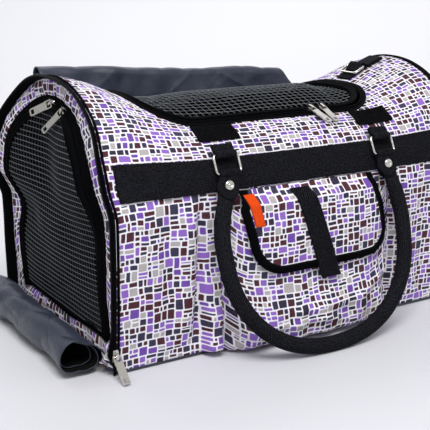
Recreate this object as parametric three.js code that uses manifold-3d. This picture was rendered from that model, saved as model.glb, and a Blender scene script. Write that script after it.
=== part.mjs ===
// Soft-sided pet carrier with an arched top, a mesh door at one end, a mesh top door and a front pocket.
// Millimetres, +Z up. +X points to the end whose cover is zipped shut, -Y is the pocket side.
// The origin is the centre of the underside, on the floor.
import * as THREE from "three";
import { mergeVertices } from "three/addons/utils/BufferGeometryUtils.js";
import Module from "manifold-3d";

// Shell
const RADIUS = 140;          // outer radius of the arched top
const SPRING = 150;          // height at which the side walls meet the arch
const BASE_HALF = 133;       // half width at the floor
const HALF_LENGTH = 234;     // half length of the wrapped walls
const WALL = 3;              // padded wall thickness
const GAP = 0.3;             // clearance between touching pieces
const SAG = 40;              // how far the ridge sinks between the two ends
const SAG_RUN = 130;         // length over which the ridge rises to each end
const SAG_POWER = 2.8;       // how quickly the sag fades down the sides

// Ends
const PLATE_OUT = HALF_LENGTH + GAP + WALL;   // outer face of the end panels
const LIP_OUT = 249;         // tip of the open zip band round the left end
const CLOSED_LIP_OUT = 242;  // tip of the zip band round the right end, which its cover draws in
const BORDER = 20;           // width of the fabric border round the end door
const ZIP_WIDTH = 7;         // zip tape round a door
const BINDING_WIDTH = 7;     // binding of a door
const DOOR_BOTTOM = 30;      // lower edge of the end opening
const COVER_PLANE = 238.5;   // inner face of the closed end cover

// Webbing
const STRAP_LOW = 178;
const STRAP_TOP = 214;
const SEAM = 196;            // seam between side and top panels, hidden by the strap
const STRAP_HALF = 227;
const WEBBING = 25;          // width of the narrow webbing
const WEB_THICK = 2.2;

// Top door
const WINDOW_LEFT = -172;
const WINDOW_RIGHT = 153;
const WINDOW_HALF_Y = 88;
const WINDOW_CORNER = 60;
const DOOR_ROUNDER = 6;

// Rings and handles
const RING_X = 106;
const RING_HALF = 15;        // half width of a handle ring, on the wire's centre line
const RING_DROP = 20;        // height of a handle ring, on the wire's centre line
const WIRE = 1.5;            // wire radius
const EYE_IN = 2.1;
const EYE_OUT = 4.5;
const UPPER_BAR = { y: -133.0, z: 214.9 };
const LOWER_BAR = { y: -141.5, z: 196.8 };
const HANDLE_TILT = 16.5;    // lean of a hanging handle, degrees from the vertical
const HANDLE_REACH = 195;    // from the ring to the middle of the handle
const HANDLE_HALF = 122;     // half width of the handle's widest part
const HANDLE_TUBE = 8.5;
const RIVET_DROP = 12.5;

// Pocket
const POCKET_LEFT = -119;
const POCKET_RIGHT = 113;
const POCKET_BOTTOM = 4;
const POCKET_TOP = 158;
const POCKET_BULGE = 15;
const POCKET_SLUMP = 20;      // how much further the pocket hangs forward at its bottom
const FLAP_TOP = 176;
const FLAP_BOTTOM = 83;
const FLAP_BINDING = 9;

// Rolled and folded covers
const ROLL_RADIUS = 20.5;
const ROLL_X = -270.5;
const TOP_ROLL_Y = 97;

const wasm = await Module();
wasm.setup();

const carrier = new THREE.Group();
const radians = THREE.MathUtils.degToRad;
const lerp = THREE.MathUtils.lerp;
const smooth = (t) => THREE.MathUtils.smoothstep(t, 0, 1);

// ---------------------------------------------------------------- materials

const looks = {
  print: { color: "#b9a6c8", roughness: 0.75, metalness: 0 },
  lining: { color: "#3a3d45", roughness: 0.5, metalness: 0 },
  black_webbing: { color: "#141416", roughness: 0.8, metalness: 0 },
  black_mesh: { color: "#1b1c1e", roughness: 0.7, metalness: 0 },
  zip: { color: "#101012", roughness: 0.6, metalness: 0 },
  nickel: { color: "#c9c6c0", roughness: 0.25, metalness: 1 },
  board: { color: "#2a2b30", roughness: 0.7, metalness: 0 },
  label: { color: "#e2552a", roughness: 0.6, metalness: 0 },
};

function add(name, geometry, look, matrix) {
  const mesh = new THREE.Mesh(geometry, new THREE.MeshStandardMaterial(looks[look]));
  mesh.name = name;
  if (matrix) mesh.applyMatrix4(matrix);
  carrier.add(mesh);
}

// ---------------------------------------------------------------- solids

function toSolid(geometry) {
  const bare = geometry.clone();
  bare.deleteAttribute("normal");
  bare.deleteAttribute("uv");
  const merged = mergeVertices(bare, 1e-4);
  const mesh = new wasm.Mesh({
    numProp: 3,
    vertProperties: new Float32Array(merged.attributes.position.array),
    triVerts: new Uint32Array(merged.index.array),
  });
  return new wasm.Manifold(mesh);
}

function toGeometry(solid) {
  const mesh = solid.getMesh();
  const geometry = new THREE.BufferGeometry();
  geometry.setAttribute("position", new THREE.BufferAttribute(new Float32Array(mesh.vertProperties), 3));
  geometry.setIndex(new THREE.BufferAttribute(new Uint32Array(mesh.triVerts), 1));
  geometry.computeVertexNormals();
  return geometry;
}

const cut = (body, tool) => toGeometry(toSolid(body).subtract(toSolid(tool)));
const keep = (body, tool) => toGeometry(toSolid(body).intersect(toSolid(tool)));
const join = (...parts) => toGeometry(parts.map(toSolid).reduce((sum, solid) => sum.add(solid)));

function indexed(points, triangles) {
  const geometry = new THREE.BufferGeometry();
  geometry.setAttribute("position", new THREE.Float32BufferAttribute(points.flat(), 3));
  geometry.setIndex(triangles.flat());
  geometry.computeVertexNormals();
  return geometry;
}

// Closed slab between two surfaces: point(u, v, 0) is its inner face and point(u, v, 1) its outer face.
// u x v has to point outwards.
function slab(us, vs, point) {
  const points = [];
  const triangles = [];
  for (const side of [0, 1]) {
    for (const u of us) {
      for (const v of vs) points.push(point(u, v, side));
    }
  }
  const id = (i, j, side) => side * us.length * vs.length + i * vs.length + j;
  const quad = (a, b, c, d) => triangles.push([a, b, c], [a, c, d]);
  const lastU = us.length - 1;
  const lastV = vs.length - 1;
  for (let i = 0; i < lastU; i++) {
    for (let j = 0; j < lastV; j++) {
      quad(id(i, j, 1), id(i + 1, j, 1), id(i + 1, j + 1, 1), id(i, j + 1, 1));
      quad(id(i, j, 0), id(i, j + 1, 0), id(i + 1, j + 1, 0), id(i + 1, j, 0));
    }
    quad(id(i, 0, 0), id(i + 1, 0, 0), id(i + 1, 0, 1), id(i, 0, 1));
    quad(id(i, lastV, 1), id(i + 1, lastV, 1), id(i + 1, lastV, 0), id(i, lastV, 0));
  }
  for (let j = 0; j < lastV; j++) {
    quad(id(0, j, 1), id(0, j + 1, 1), id(0, j + 1, 0), id(0, j, 0));
    quad(id(lastU, j, 0), id(lastU, j + 1, 0), id(lastU, j + 1, 1), id(lastU, j, 1));
  }
  return indexed(points, triangles);
}

// Closed loft through rings of equally many points; the rings run clockwise seen along the loft.
function loft(rings) {
  const count = rings[0].length;
  const points = rings.flat();
  const triangles = [];
  for (let i = 0; i + 1 < rings.length; i++) {
    for (let j = 0; j < count; j++) {
      const a = i * count + j;
      const b = i * count + ((j + 1) % count);
      triangles.push([a, a + count, b], [b, a + count, b + count]);
    }
  }
  const last = (rings.length - 1) * count;
  for (let j = 1; j + 1 < count; j++) {
    triangles.push([0, j, j + 1], [last, last + j + 1, last + j]);
  }
  return indexed(points, triangles);
}

const shapeOf = (points) => new THREE.Shape(points.map(([a, b]) => new THREE.Vector2(a, b)));

function extrude(points, depth, holes = []) {
  const shape = shapeOf(points);
  shape.holes = holes.map((hole) => new THREE.Path(hole.map(([a, b]) => new THREE.Vector2(a, b))));
  return new THREE.ExtrudeGeometry(shape, { depth, bevelEnabled: false });
}

const basis = (x, y, z, origin) =>
  new THREE.Matrix4()
    .makeBasis(new THREE.Vector3(...x), new THREE.Vector3(...y), new THREE.Vector3(...z))
    .setPosition(...origin);

// Plate whose outline is given in (y, z), between two planes of constant x.
const endPlate = (points, from, to, holes) =>
  extrude(points, to - from, holes).applyMatrix4(basis([0, 1, 0], [0, 0, 1], [1, 0, 0], [from, 0, 0]));

// Prism whose outline is given in (x, z), running from y = from down to y = to.
const frontPrism = (points, from, to) =>
  extrude(points, from - to).applyMatrix4(basis([1, 0, 0], [0, 0, 1], [0, -1, 0], [0, from, 0]));

const box = (x0, x1, y0, y1, z0, z1) =>
  new THREE.BoxGeometry(x1 - x0, y1 - y0, z1 - z0).translate((x0 + x1) / 2, (y0 + y1) / 2, (z0 + z1) / 2);

// ---------------------------------------------------------------- the soft shell's surface

const sagAt = (x) => SAG * smooth((PLATE_OUT - Math.abs(x)) / SAG_RUN);
const halfWidth = (z) => BASE_HALF + (RADIUS - BASE_HALF) * Math.sin((Math.PI / 2) * (z / SPRING));
const angleAtHeight = (z) => THREE.MathUtils.radToDeg(Math.asin((z - SPRING) / RADIUS));

// A station runs from -1 at the front floor edge to 0 at the spring line, 0 to 180 degrees over the
// arch, and on to 181 at the rear floor edge.
function shellPoint(x, station, offset) {
  if (station < 0 || station > 180) {
    const z = SPRING * (station < 0 ? 1 + station : 181 - station);
    return [x, (station < 0 ? -1 : 1) * (halfWidth(z) + offset), z];
  }
  const angle = radians(station);
  const rise = (RADIUS + offset) * Math.sin(angle);
  const sag = sagAt(x) * Math.sin(angle) ** SAG_POWER;
  return [x, -(RADIUS + offset) * Math.cos(angle), SPRING + rise - sag];
}

const shellSlab = (xs, stations, inner, outer) =>
  slab(xs, stations, (x, station, side) => shellPoint(x, station, side ? outer : inner));

const mirrored = (stations) => stations.map((station) => 180 - station).reverse();

// Stations along the length: the ridge is level between the two rising shoulders.
function lengthStations(from, to) {
  const marks = [];
  for (let step = 0; step <= 5; step++) marks.push(PLATE_OUT - (SAG_RUN * step) / 5);
  const all = [...marks.map((mark) => -mark), ...marks.reverse()];
  return [from, ...all.filter((x) => x > from + 1 && x < to - 1), to];
}

const strapLow = angleAtHeight(STRAP_LOW);
const strapTop = angleAtHeight(STRAP_TOP);
const seam = angleAtHeight(SEAM);
const windowEdge = 90 - THREE.MathUtils.radToDeg(Math.asin(WINDOW_HALF_Y / RADIUS));
const quarterStations = [seam + 0.1, strapTop, (strapTop + windowEdge) / 2, windowEdge, 64, 77];
const topStations = [...quarterStations, 90, ...mirrored(quarterStations)];
const sideStations = [-1 + (WALL + GAP) / SPRING, -0.6, -0.3, 0, strapLow, seam - 0.1];

// Outline of the end in (y, z): the shell's section moved by an offset, cut off flat at the bottom.
function archOutline(offset, bottom) {
  const points = [];
  for (const z of [bottom, lerp(bottom, SPRING, 0.35), lerp(bottom, SPRING, 0.7)]) {
    points.push([-(halfWidth(z) + offset), z]);
  }
  for (let degrees = 0; degrees <= 180; degrees += 9) {
    const angle = radians(degrees);
    points.push([-(RADIUS + offset) * Math.cos(angle), SPRING + (RADIUS + offset) * Math.sin(angle)]);
  }
  const rear = points.slice(0, 3).map(([y, z]) => [-y, z]);
  return [...points, ...rear.reverse()].reverse();
}

function archBand(outer, inner, outerBottom, innerBottom, from, to) {
  return endPlate(archOutline(outer, outerBottom), from, to, [archOutline(inner, innerBottom)]);
}

// ---------------------------------------------------------------- shell pieces

function makeShell() {
  const xs = lengthStations(-HALF_LENGTH, HALF_LENGTH);
  add("front_panel", shellSlab(xs, sideStations, -WALL, 0), "print");
  add("rear_panel", shellSlab(xs, mirrored(sideStations), -WALL, 0), "print");
  const top = shellSlab(xs, topStations, -WALL, 0);
  const opening = extrude(windowOutline(0), 200).translate(0, 0, 200);
  add("top_panel", cut(top, opening), "print");
  const underside = [-PLATE_OUT, PLATE_OUT, -BASE_HALF, BASE_HALF];
  add("base_panel", box(...underside, 0, WALL), "board");
  const inset = WALL + 3;
  const inside = [inset - HALF_LENGTH, HALF_LENGTH - inset, inset - BASE_HALF, BASE_HALF - inset];
  add("base_board", box(...inside, WALL + GAP, 7.3), "board");
  add("floor_mat", box(...inside, 7.6, 19), "lining");
}

function makeEnds() {
  const bottom = WALL + GAP;
  const zipIn = -BORDER - ZIP_WIDTH;
  const bindingIn = zipIn - BINDING_WIDTH;
  const meshBottom = DOOR_BOTTOM + ZIP_WIDTH + BINDING_WIDTH;
  for (const [side, sign] of [["left", -1], ["right", 1]]) {
    const span = (inner, outer) => (sign < 0 ? [-outer, -inner] : [inner, outer]);
    const plate = span(HALF_LENGTH + GAP, PLATE_OUT);
    add(`${side}_end_frame`, archBand(0, -BORDER, bottom, DOOR_BOTTOM, ...plate), "print");
    const mesh = endPlate(archOutline(bindingIn - GAP, meshBottom + GAP), ...plate);
    if (side === "left") {
      const zip = archBand(-BORDER - GAP, zipIn, DOOR_BOTTOM + GAP, DOOR_BOTTOM + ZIP_WIDTH, ...plate);
      add("left_door_zip", zip, "zip");
      const binding = archBand(zipIn - GAP, bindingIn, DOOR_BOTTOM + ZIP_WIDTH + GAP, meshBottom, ...plate);
      add("left_door_binding", binding, "zip");
      add("left_door_mesh", mesh, "black_mesh");
    } else {
      const binding = archBand(-BORDER - GAP, bindingIn, DOOR_BOTTOM + GAP, meshBottom, ...plate);
      add("right_window_binding", binding, "zip");
      add("right_window_mesh", mesh, "black_mesh");
    }
    const lip = span(PLATE_OUT + GAP, side === "left" ? LIP_OUT : CLOSED_LIP_OUT);
    const opening = endPlate(archOutline(-2.2, -50), -400, 400);
    const band = cut(endPlate(archOutline(0.8, 0.5), ...lip), opening);
    add(`${side}_cover_zip`, band, "zip");
  }
  const cover = endPlate(archOutline(-2.8, 4.3), COVER_PLANE, COVER_PLANE + WALL);
  add("right_cover_panel", cover, "print");
}

function makeWebbing() {
  const xs = lengthStations(-STRAP_HALF, STRAP_HALF);
  const stations = [strapLow, seam, strapTop];
  add("front_strap", shellSlab(xs, stations, GAP, GAP + WEB_THICK), "black_webbing");
  add("rear_strap", shellSlab(xs, mirrored(stations), GAP, GAP + WEB_THICK), "black_webbing");
  for (const [side, from, to] of [["left", -124, -73], ["right", 92, 143]]) {
    const patch = shellSlab(lengthStations(from, to), [37.5, (strapTop + windowEdge) / 2, 49.8], 2 * GAP, 2.1);
    add(`hook_patch_${side}`, patch, "black_webbing");
  }
}

// ---------------------------------------------------------------- top door and its zip

// Rounded rectangle in (x, y), moved inwards by the inset. The door's corners are rounder than the
// opening's, so that they swing clear of the zip where the shoulders rise.
function windowOutline(inset, rounder = 0) {
  const points = [];
  const ends = { 1: WINDOW_RIGHT - WINDOW_CORNER - rounder, "-1": WINDOW_LEFT + WINDOW_CORNER + rounder };
  const cornerY = WINDOW_HALF_Y - WINDOW_CORNER - rounder;
  const radius = WINDOW_CORNER + rounder - inset;
  for (const [quarter, sx, sy] of [[0, 1, 1], [90, -1, 1], [180, -1, -1], [270, 1, -1]]) {
    for (let degrees = 0; degrees <= 90; degrees += 18) {
      const angle = radians(quarter + degrees);
      points.push([ends[sx] + radius * Math.cos(angle), sy * cornerY + radius * Math.sin(angle)]);
    }
  }
  return points;
}

function makeTopDoor() {
  const xs = lengthStations(WINDOW_LEFT - 8, WINDOW_RIGHT + 8);
  const inner = topStations.filter((station) => station > 45 && station < 135);
  const surface = shellSlab(xs, [45, ...inner, 135], -WALL, 0);
  const column = (inset, rounder) => extrude(windowOutline(inset, rounder), 200).translate(0, 0, 200);
  const ring = (outside, inside) => cut(keep(surface, outside), inside);
  const meshOut = ZIP_WIDTH + BINDING_WIDTH;
  const doorOutside = column(ZIP_WIDTH + GAP, DOOR_ROUNDER);
  add("top_door_zip", ring(column(GAP), column(ZIP_WIDTH)), "zip");
  add("top_door_binding", ring(doorOutside, column(meshOut, DOOR_ROUNDER)), "zip");
  add("top_door_mesh", keep(surface, column(meshOut + GAP, DOOR_ROUNDER)), "black_mesh");
}

// ---------------------------------------------------------------- handle rings and handles

const circle = (radius, count) =>
  Array.from({ length: count }, (_, i) => {
    const angle = (2 * Math.PI * i) / count;
    return [radius * Math.cos(angle), radius * Math.sin(angle)];
  });

// Webbing wrapped round a bar along X, with its tail running in the direction of `tail` in (y, z).
function webbingEye(bar, tail, length, thick) {
  const eye = extrude(circle(EYE_OUT, 14), WEBBING, [circle(EYE_IN, 10)]);
  const start = EYE_IN + 0.6;
  const flap = extrude([[start, -thick / 2], [length, -thick / 2], [length, thick / 2], [start, thick / 2]], WEBBING);
  const across = [-tail[1], tail[0]];
  const place = basis([0, ...tail], [0, ...across], [1, 0, 0], [-WEBBING / 2, bar.y, bar.z]);
  return join(eye, flap).applyMatrix4(place);
}

// Closed wire frame in the local XY plane, hanging from its upper bar on the X axis.
function wireFrame(half, drop) {
  const corner = 4;
  const path = new THREE.CurvePath();
  const spots = [[-half, 0], [half, 0], [half, -drop], [-half, -drop]];
  const at = ([x, y]) => new THREE.Vector3(x, y, 0);
  spots.forEach((spot, i) => {
    const here = at(spot);
    const before = at(spots[(i + 3) % 4]);
    const after = at(spots[(i + 1) % 4]);
    const enter = here.clone().lerp(before, corner / here.distanceTo(before));
    const leave = here.clone().lerp(after, corner / here.distanceTo(after));
    const next = after.clone().lerp(here, corner / here.distanceTo(after));
    path.add(new THREE.QuadraticBezierCurve3(enter, here, leave));
    path.add(new THREE.LineCurve3(leave, next));
  });
  const rings = path.getSpacedPoints(24).slice(0, 24);
  const points = [];
  const triangles = [];
  const sides = 7;
  rings.forEach((spot, i) => {
    const ahead = rings[(i + 1) % 24].clone().sub(rings[(i + 23) % 24]).normalize();
    const outward = new THREE.Vector3(ahead.y, -ahead.x, 0);
    for (const [a, b] of circle(WIRE, sides)) {
      points.push([spot.x + outward.x * a, spot.y + outward.y * a, b]);
    }
    for (let j = 0; j < sides; j++) {
      const here = i * sides + j;
      const beside = i * sides + ((j + 1) % sides);
      const ahead1 = ((i + 1) % 24) * sides + j;
      const ahead2 = ((i + 1) % 24) * sides + ((j + 1) % sides);
      triangles.push([here, ahead1, beside], [beside, ahead1, ahead2]);
    }
  });
  return indexed(points, triangles);
}

// Half of the handle's centre line as (x, distance from the ring), from the ring to the middle.
function handleHalf() {
  const bend = 80;
  const points = [[RING_X + 2.5, 20.5], [RING_X + 6, 30], [RING_X + 12, 44], [HANDLE_HALF - 0.6, 62]];
  for (let degrees = 0; degrees < 90; degrees += 15) {
    const angle = radians(degrees);
    points.push([
      HANDLE_HALF * Math.cos(angle) ** 0.9,
      bend + (HANDLE_REACH - bend) * Math.sin(angle) ** 0.9,
    ]);
  }
  return points;
}

function makeHandle(side, sign) {
  const tilt = radians(HANDLE_TILT);
  const down = [sign * Math.sin(tilt), -Math.cos(tilt)];
  const bar = { y: -sign * LOWER_BAR.y, z: LOWER_BAR.z };
  const at = ([x, reach]) => new THREE.Vector3(x, bar.y + down[0] * reach, bar.z + down[1] * reach);
  const half = handleHalf();
  const route = [...half.map(([x, reach]) => [-x, reach]), [0, HANDLE_REACH], ...half.reverse()];
  const path = new THREE.CatmullRomCurve3(route.map(at), false, "centripetal");
  const tube = new THREE.ExtrudeGeometry(shapeOf(circle(HANDLE_TUBE, 10)), { steps: 38, extrudePath: path });
  const tabs = [-RING_X, RING_X].map((x) => webbingEye(bar, down, 27, 2 * WEB_THICK).translate(x, 0, 0));
  const rivetAt = (x) => at([x, RIVET_DROP]);
  let handle = join(tube, ...tabs);
  const rivet = new THREE.LatheGeometry(
    [[0, -4.6], [5.2, -4.2], [5.5, -2.6], [2, -2.6], [2, 2.6], [5.5, 2.6], [5.2, 4.2], [0, 4.6]].map(
      ([r, h]) => new THREE.Vector2(r, h),
    ),
    14,
  );
  const normal = [0, -down[1], down[0]];
  for (const x of [-RING_X, RING_X]) {
    const spot = rivetAt(x);
    const place = basis([1, 0, 0], normal, [0, -down[0], -down[1]], spot.toArray());
    const room = new THREE.CylinderGeometry(2.4, 2.4, 40, 10);
    const clear = new THREE.CylinderGeometry(6.2, 6.2, 20, 14).translate(0, 12.5, 0);
    const clearBack = new THREE.CylinderGeometry(6.2, 6.2, 20, 14).translate(0, -12.5, 0);
    for (const tool of [room, clear, clearBack]) handle = cut(handle, tool.applyMatrix4(place));
    add(`${side}_handle_rivet_${x < 0 ? "left" : "right"}`, rivet.clone(), "nickel", place);
  }
  add(`${side}_handle`, handle, "black_webbing");
}

function makeHandleRings(side, sign) {
  const span = [-sign * (UPPER_BAR.y - LOWER_BAR.y), UPPER_BAR.z - LOWER_BAR.z];
  const length = Math.hypot(...span);
  const up = [span[0] / length, span[1] / length];
  const place = (x) => basis([1, 0, 0], [0, ...up], [0, -up[1], up[0]], [x, -sign * UPPER_BAR.y, UPPER_BAR.z]);
  const bar = { y: -sign * UPPER_BAR.y, z: UPPER_BAR.z };
  const lean = radians(44);
  const tail = [-sign * Math.sin(lean), Math.cos(lean)];
  for (const [name, x] of [["left", -RING_X], ["right", RING_X]]) {
    add(`${side}_handle_ring_${name}`, wireFrame(RING_HALF, RING_DROP), "nickel", place(x));
    const loop = webbingEye(bar, tail, 11, 2 * WEB_THICK).translate(x, 0, 0);
    add(`${side}_ring_loop_${name}`, loop, "black_webbing");
  }
}

// ---------------------------------------------------------------- ridge tab with its ring

function makeRidge() {
  const near = 161;
  const far = 212;
  const barAt = 181;
  const surface = (x, offset) => shellPoint(x, 90, offset)[2];
  const strip = slab([near, 172, barAt + 4, 198, far], [-WEBBING / 2, WEBBING / 2], (x, y, top) => [
    x,
    y,
    surface(x, top ? WEB_THICK + 1.2 : 1.2),
  ]);
  const barHeight = surface(barAt, 0) + EYE_OUT + 2.2;
  const eye = extrude(circle(EYE_OUT, 14), WEBBING, [circle(EYE_IN, 10)]);
  const bar = [barAt, WEBBING / 2, barHeight];
  const loop = eye.applyMatrix4(basis([1, 0, 0], [0, 0, 1], [0, -1, 0], bar));
  add("right_ridge_tab", join(strip, loop), "black_webbing");
  const slope = (surface(barAt, 0) - surface(barAt - 17, 0)) / 17 + 0.06;
  const length = Math.hypot(1, slope);
  const up = [1 / length, 0, slope / length];
  const across = [0, 1, 0];
  const normal = new THREE.Vector3(...across).cross(new THREE.Vector3(...up)).toArray();
  const place = basis(across, up, normal, [barAt, 0, barHeight]);
  add("right_ridge_ring", wireFrame(RING_HALF, 17), "nickel", place);
}

// ---------------------------------------------------------------- pocket

const pocketMid = (POCKET_LEFT + POCKET_RIGHT) / 2;
const pocketHalf = (POCKET_RIGHT - POCKET_LEFT) / 2;

// How far the pocket stands off the front wall at a place on it.
function pocketDepth(x, z) {
  const away = Math.min(1, Math.abs(x - pocketMid) / pocketHalf);
  const up = (z - POCKET_BOTTOM) / (POCKET_TOP - POCKET_BOTTOM);
  const along = 0.45 + 0.55 * Math.sin(Math.PI * Math.min(1, 0.12 + 0.78 * up));
  const slump = POCKET_SLUMP * smooth((85 - z) / 70);
  return POCKET_BULGE * (1 - away ** 4) * along + slump * (1 - away ** 8);
}

const frontWall = (z) => -(z < SPRING ? halfWidth(z) : Math.sqrt(RADIUS ** 2 - (z - SPRING) ** 2));
const steps = (from, to, count) => Array.from({ length: count + 1 }, (_, i) => lerp(from, to, i / count));

function makePocket() {
  const wall = 2;
  const even = steps(POCKET_LEFT, POCKET_RIGHT, 16);
  const xs = [even[0], POCKET_LEFT + 5, ...even.slice(1, -1), POCKET_RIGHT - 5, even.at(-1)];
  const zs = [POCKET_BOTTOM, 14, 28, 44, 60, 76, 97, 117, 138, POCKET_TOP];
  const front = slab(xs, zs, (x, z, outer) => [
    x,
    frontWall(z) - 0.8 - pocketDepth(x, z) - (outer ? wall : 0),
    z,
  ]);
  const floor = slab(xs.slice(1, -1), [0, 1], (x, back, upper) => [
    x,
    frontWall(POCKET_BOTTOM) - 0.8 - (back ? 0 : pocketDepth(x, POCKET_BOTTOM) + wall / 2),
    POCKET_BOTTOM + (upper ? wall : 0),
  ]);
  add("pocket_pouch", join(front, floor), "print");
}

// The flap's outer face, just outside the pocket and drawn in to the wall at its hinge.
function flapY(x, z, offset) {
  const draw = smooth((FLAP_TOP - z) / (FLAP_TOP - POCKET_TOP - 2));
  const stand = 1.2 + 3.4 * draw + pocketDepth(x, Math.min(z, POCKET_TOP)) * draw;
  return frontWall(Math.max(z, 60)) - stand - offset;
}

// Outline of the flap in (x, z): its left edge slants inwards and its right edge outwards to round
// lower corners.
function flapOutline(inset) {
  const leftRound = 44;
  const rightRound = 30;
  const left = -89;
  const right = 106;
  const points = [
    [-92.8 + inset, FLAP_TOP],
    [-92.8 + inset, FLAP_TOP - 10],
    [-98 + inset, FLAP_TOP - 18],
  ];
  for (let degrees = 185; degrees <= 270; degrees += 17) {
    const angle = radians(degrees);
    const round = leftRound - inset;
    points.push([
      left + leftRound + round * Math.cos(angle),
      FLAP_BOTTOM + leftRound + round * Math.sin(angle),
    ]);
  }
  for (let degrees = 270; degrees <= 355; degrees += 17) {
    const angle = radians(degrees);
    const round = rightRound - inset;
    points.push([
      right - rightRound + round * Math.cos(angle),
      FLAP_BOTTOM + rightRound + round * Math.sin(angle),
    ]);
  }
  points.push([98 - inset, FLAP_TOP - 34], [89 - inset, FLAP_TOP - 14], [88 - inset, FLAP_TOP]);
  return points;
}

function makeFlap() {
  const thick = 2.4;
  const xs = steps(-104, 110, 15);
  const zs = steps(70, FLAP_TOP - 0.01, 9);
  const layer = (inner, outer) => slab(xs, zs, (x, z, out) => [x, flapY(x, z, out ? outer : inner), z]);
  const prism = (outline) => frontPrism(outline, -100, -220);
  const cloth = layer(0, thick);
  const inside = flapOutline(FLAP_BINDING);
  inside[0][1] = inside.at(-1)[1] = FLAP_TOP + 5;
  const outside = flapOutline(FLAP_BINDING - GAP);
  outside[0][1] = outside.at(-1)[1] = FLAP_TOP + 5;
  add("pocket_flap_panel", keep(cloth, prism(inside)), "print");
  add("pocket_flap_binding", cut(keep(cloth, prism(flapOutline(0))), prism(outside)), "black_webbing");
  const strip = [[-31.5, FLAP_TOP - 4], [2, 71], [29, 71], [-5.5, FLAP_TOP - 4]];
  add("pocket_flap_strip", keep(layer(thick + GAP, thick + GAP + 2), prism(strip)), "black_webbing");
  const label = [[-91, 172], [-83, 139], [-71, 138], [-77.5, 171]];
  add("pocket_label", keep(layer(thick + GAP, thick + GAP + 0.8), prism(label)), "label");
}

// ---------------------------------------------------------------- rolled covers

function makeRolledCovers() {
  const roll = [];
  const seamX = -PLATE_OUT - 1;
  for (const y of [-122, -40, 45, 126]) {
    const ring = [];
    for (let i = 0; i < 20; i++) {
      const angle = (2 * Math.PI * i) / 20;
      ring.push([
        ROLL_X + ROLL_RADIUS * Math.cos(angle),
        y,
        ROLL_RADIUS + 0.5 + ROLL_RADIUS * Math.sin(angle),
      ]);
    }
    roll.push(ring);
  }
  const strip = box(ROLL_X, seamX, -122, 126, 0.5, 2.5);
  add("left_cover_roll", join(loft(roll), strip), "lining");

  const folded = [];
  for (const x of [-212, -190, -160, -130, -60, 0, 60, 130, 150]) {
    const low = shellPoint(x, 180 - windowEdge + 4, 0)[2] + 2.2;
    const high = lerp(287, 269, (x + 212) / 362);
    const middle = (low + high) / 2;
    const half = (high - low) / 2;
    const ring = [];
    for (let i = 0; i < 14; i++) {
      const angle = (-2 * Math.PI * i) / 14;
      const up = half * Math.sin(angle);
      ring.push([x, TOP_ROLL_Y + 11 + (up + half) * 0.12 + 11 * Math.cos(angle), middle + up]);
    }
    folded.push(ring);
  }
  add("top_cover_fold", loft(folded), "lining");
}

// ---------------------------------------------------------------- zip sliders and pulls

const PULL_LENGTH = 31;

// Local frame: X along the pull's bar, Z away from the cloth, the bar at the origin. The slider's body
// is turned about Z to lie along its zip, and its bridge stays square to the pull.
function sliderBody(turn) {
  const outline = [[-2.6, -6.5], [2.6, -6.5], [4, 2], [3.2, 6], [-3.2, 6], [-4, 2]];
  const body = extrude(outline, 2.6).translate(0, 0, -4.2).rotateZ(-turn);
  const bridge = box(-1.3, 1.3, -3.6, 3.6, -3, 2.6);
  const under = box(-5, 5, -2.5, 2.5, -1.6, 1.5);
  return join(body, cut(bridge, under));
}

// The pull runs along local -Y from its bar, with one slot round the bridge and another near its tip.
function pullTab() {
  const half = 4.3;
  const round = 2.4;
  const points = [[-4.7, 0.8], [-4.7, -7], [-half, -9.5]];
  for (let degrees = 180; degrees <= 360; degrees += 30) {
    const angle = radians(degrees);
    const middle = degrees <= 270 ? round - half : half - round;
    points.push([middle + round * Math.cos(angle), round - PULL_LENGTH + round * Math.sin(angle)]);
    if (degrees === 270) points.push([half - round, -PULL_LENGTH]);
  }
  points.push([half, -9.5], [4.7, -7], [4.7, 0.8]);
  const slot = [[-3.4, -0.8], [3.4, -0.8], [3.4, -5.8], [-3.4, -5.8]];
  const hole = [[-2.5, -24.5], [2.5, -24.5], [2.5, 2.2 - PULL_LENGTH], [-2.5, 2.2 - PULL_LENGTH]];
  return extrude(points, 1.6, [slot, hole]).translate(0, 0, -0.8);
}

// Places a slider and its pull: `along` is the zip's direction and `normal` points away from the cloth.
// The pull hangs in the direction `hang`, dipping towards the cloth by `dip` degrees.
function addZipPull(name, bar, along, normal, hang, dip) {
  const z = new THREE.Vector3(...normal).normalize();
  const flat = (v) => new THREE.Vector3(...v).addScaledVector(z, -new THREE.Vector3(...v).dot(z)).normalize();
  const back = flat(hang).negate();
  const side = back.clone().cross(z);
  const zip = flat(along);
  const frame = basis(side.toArray(), back.toArray(), z.toArray(), bar);
  add(`${name}_slider`, sliderBody(Math.atan2(zip.dot(side), zip.dot(back))), "nickel", frame);
  const lift = new THREE.Matrix4().makeRotationX(radians(dip));
  add(`${name}_pull`, pullTab(), "nickel", frame.clone().multiply(lift));
}

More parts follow.
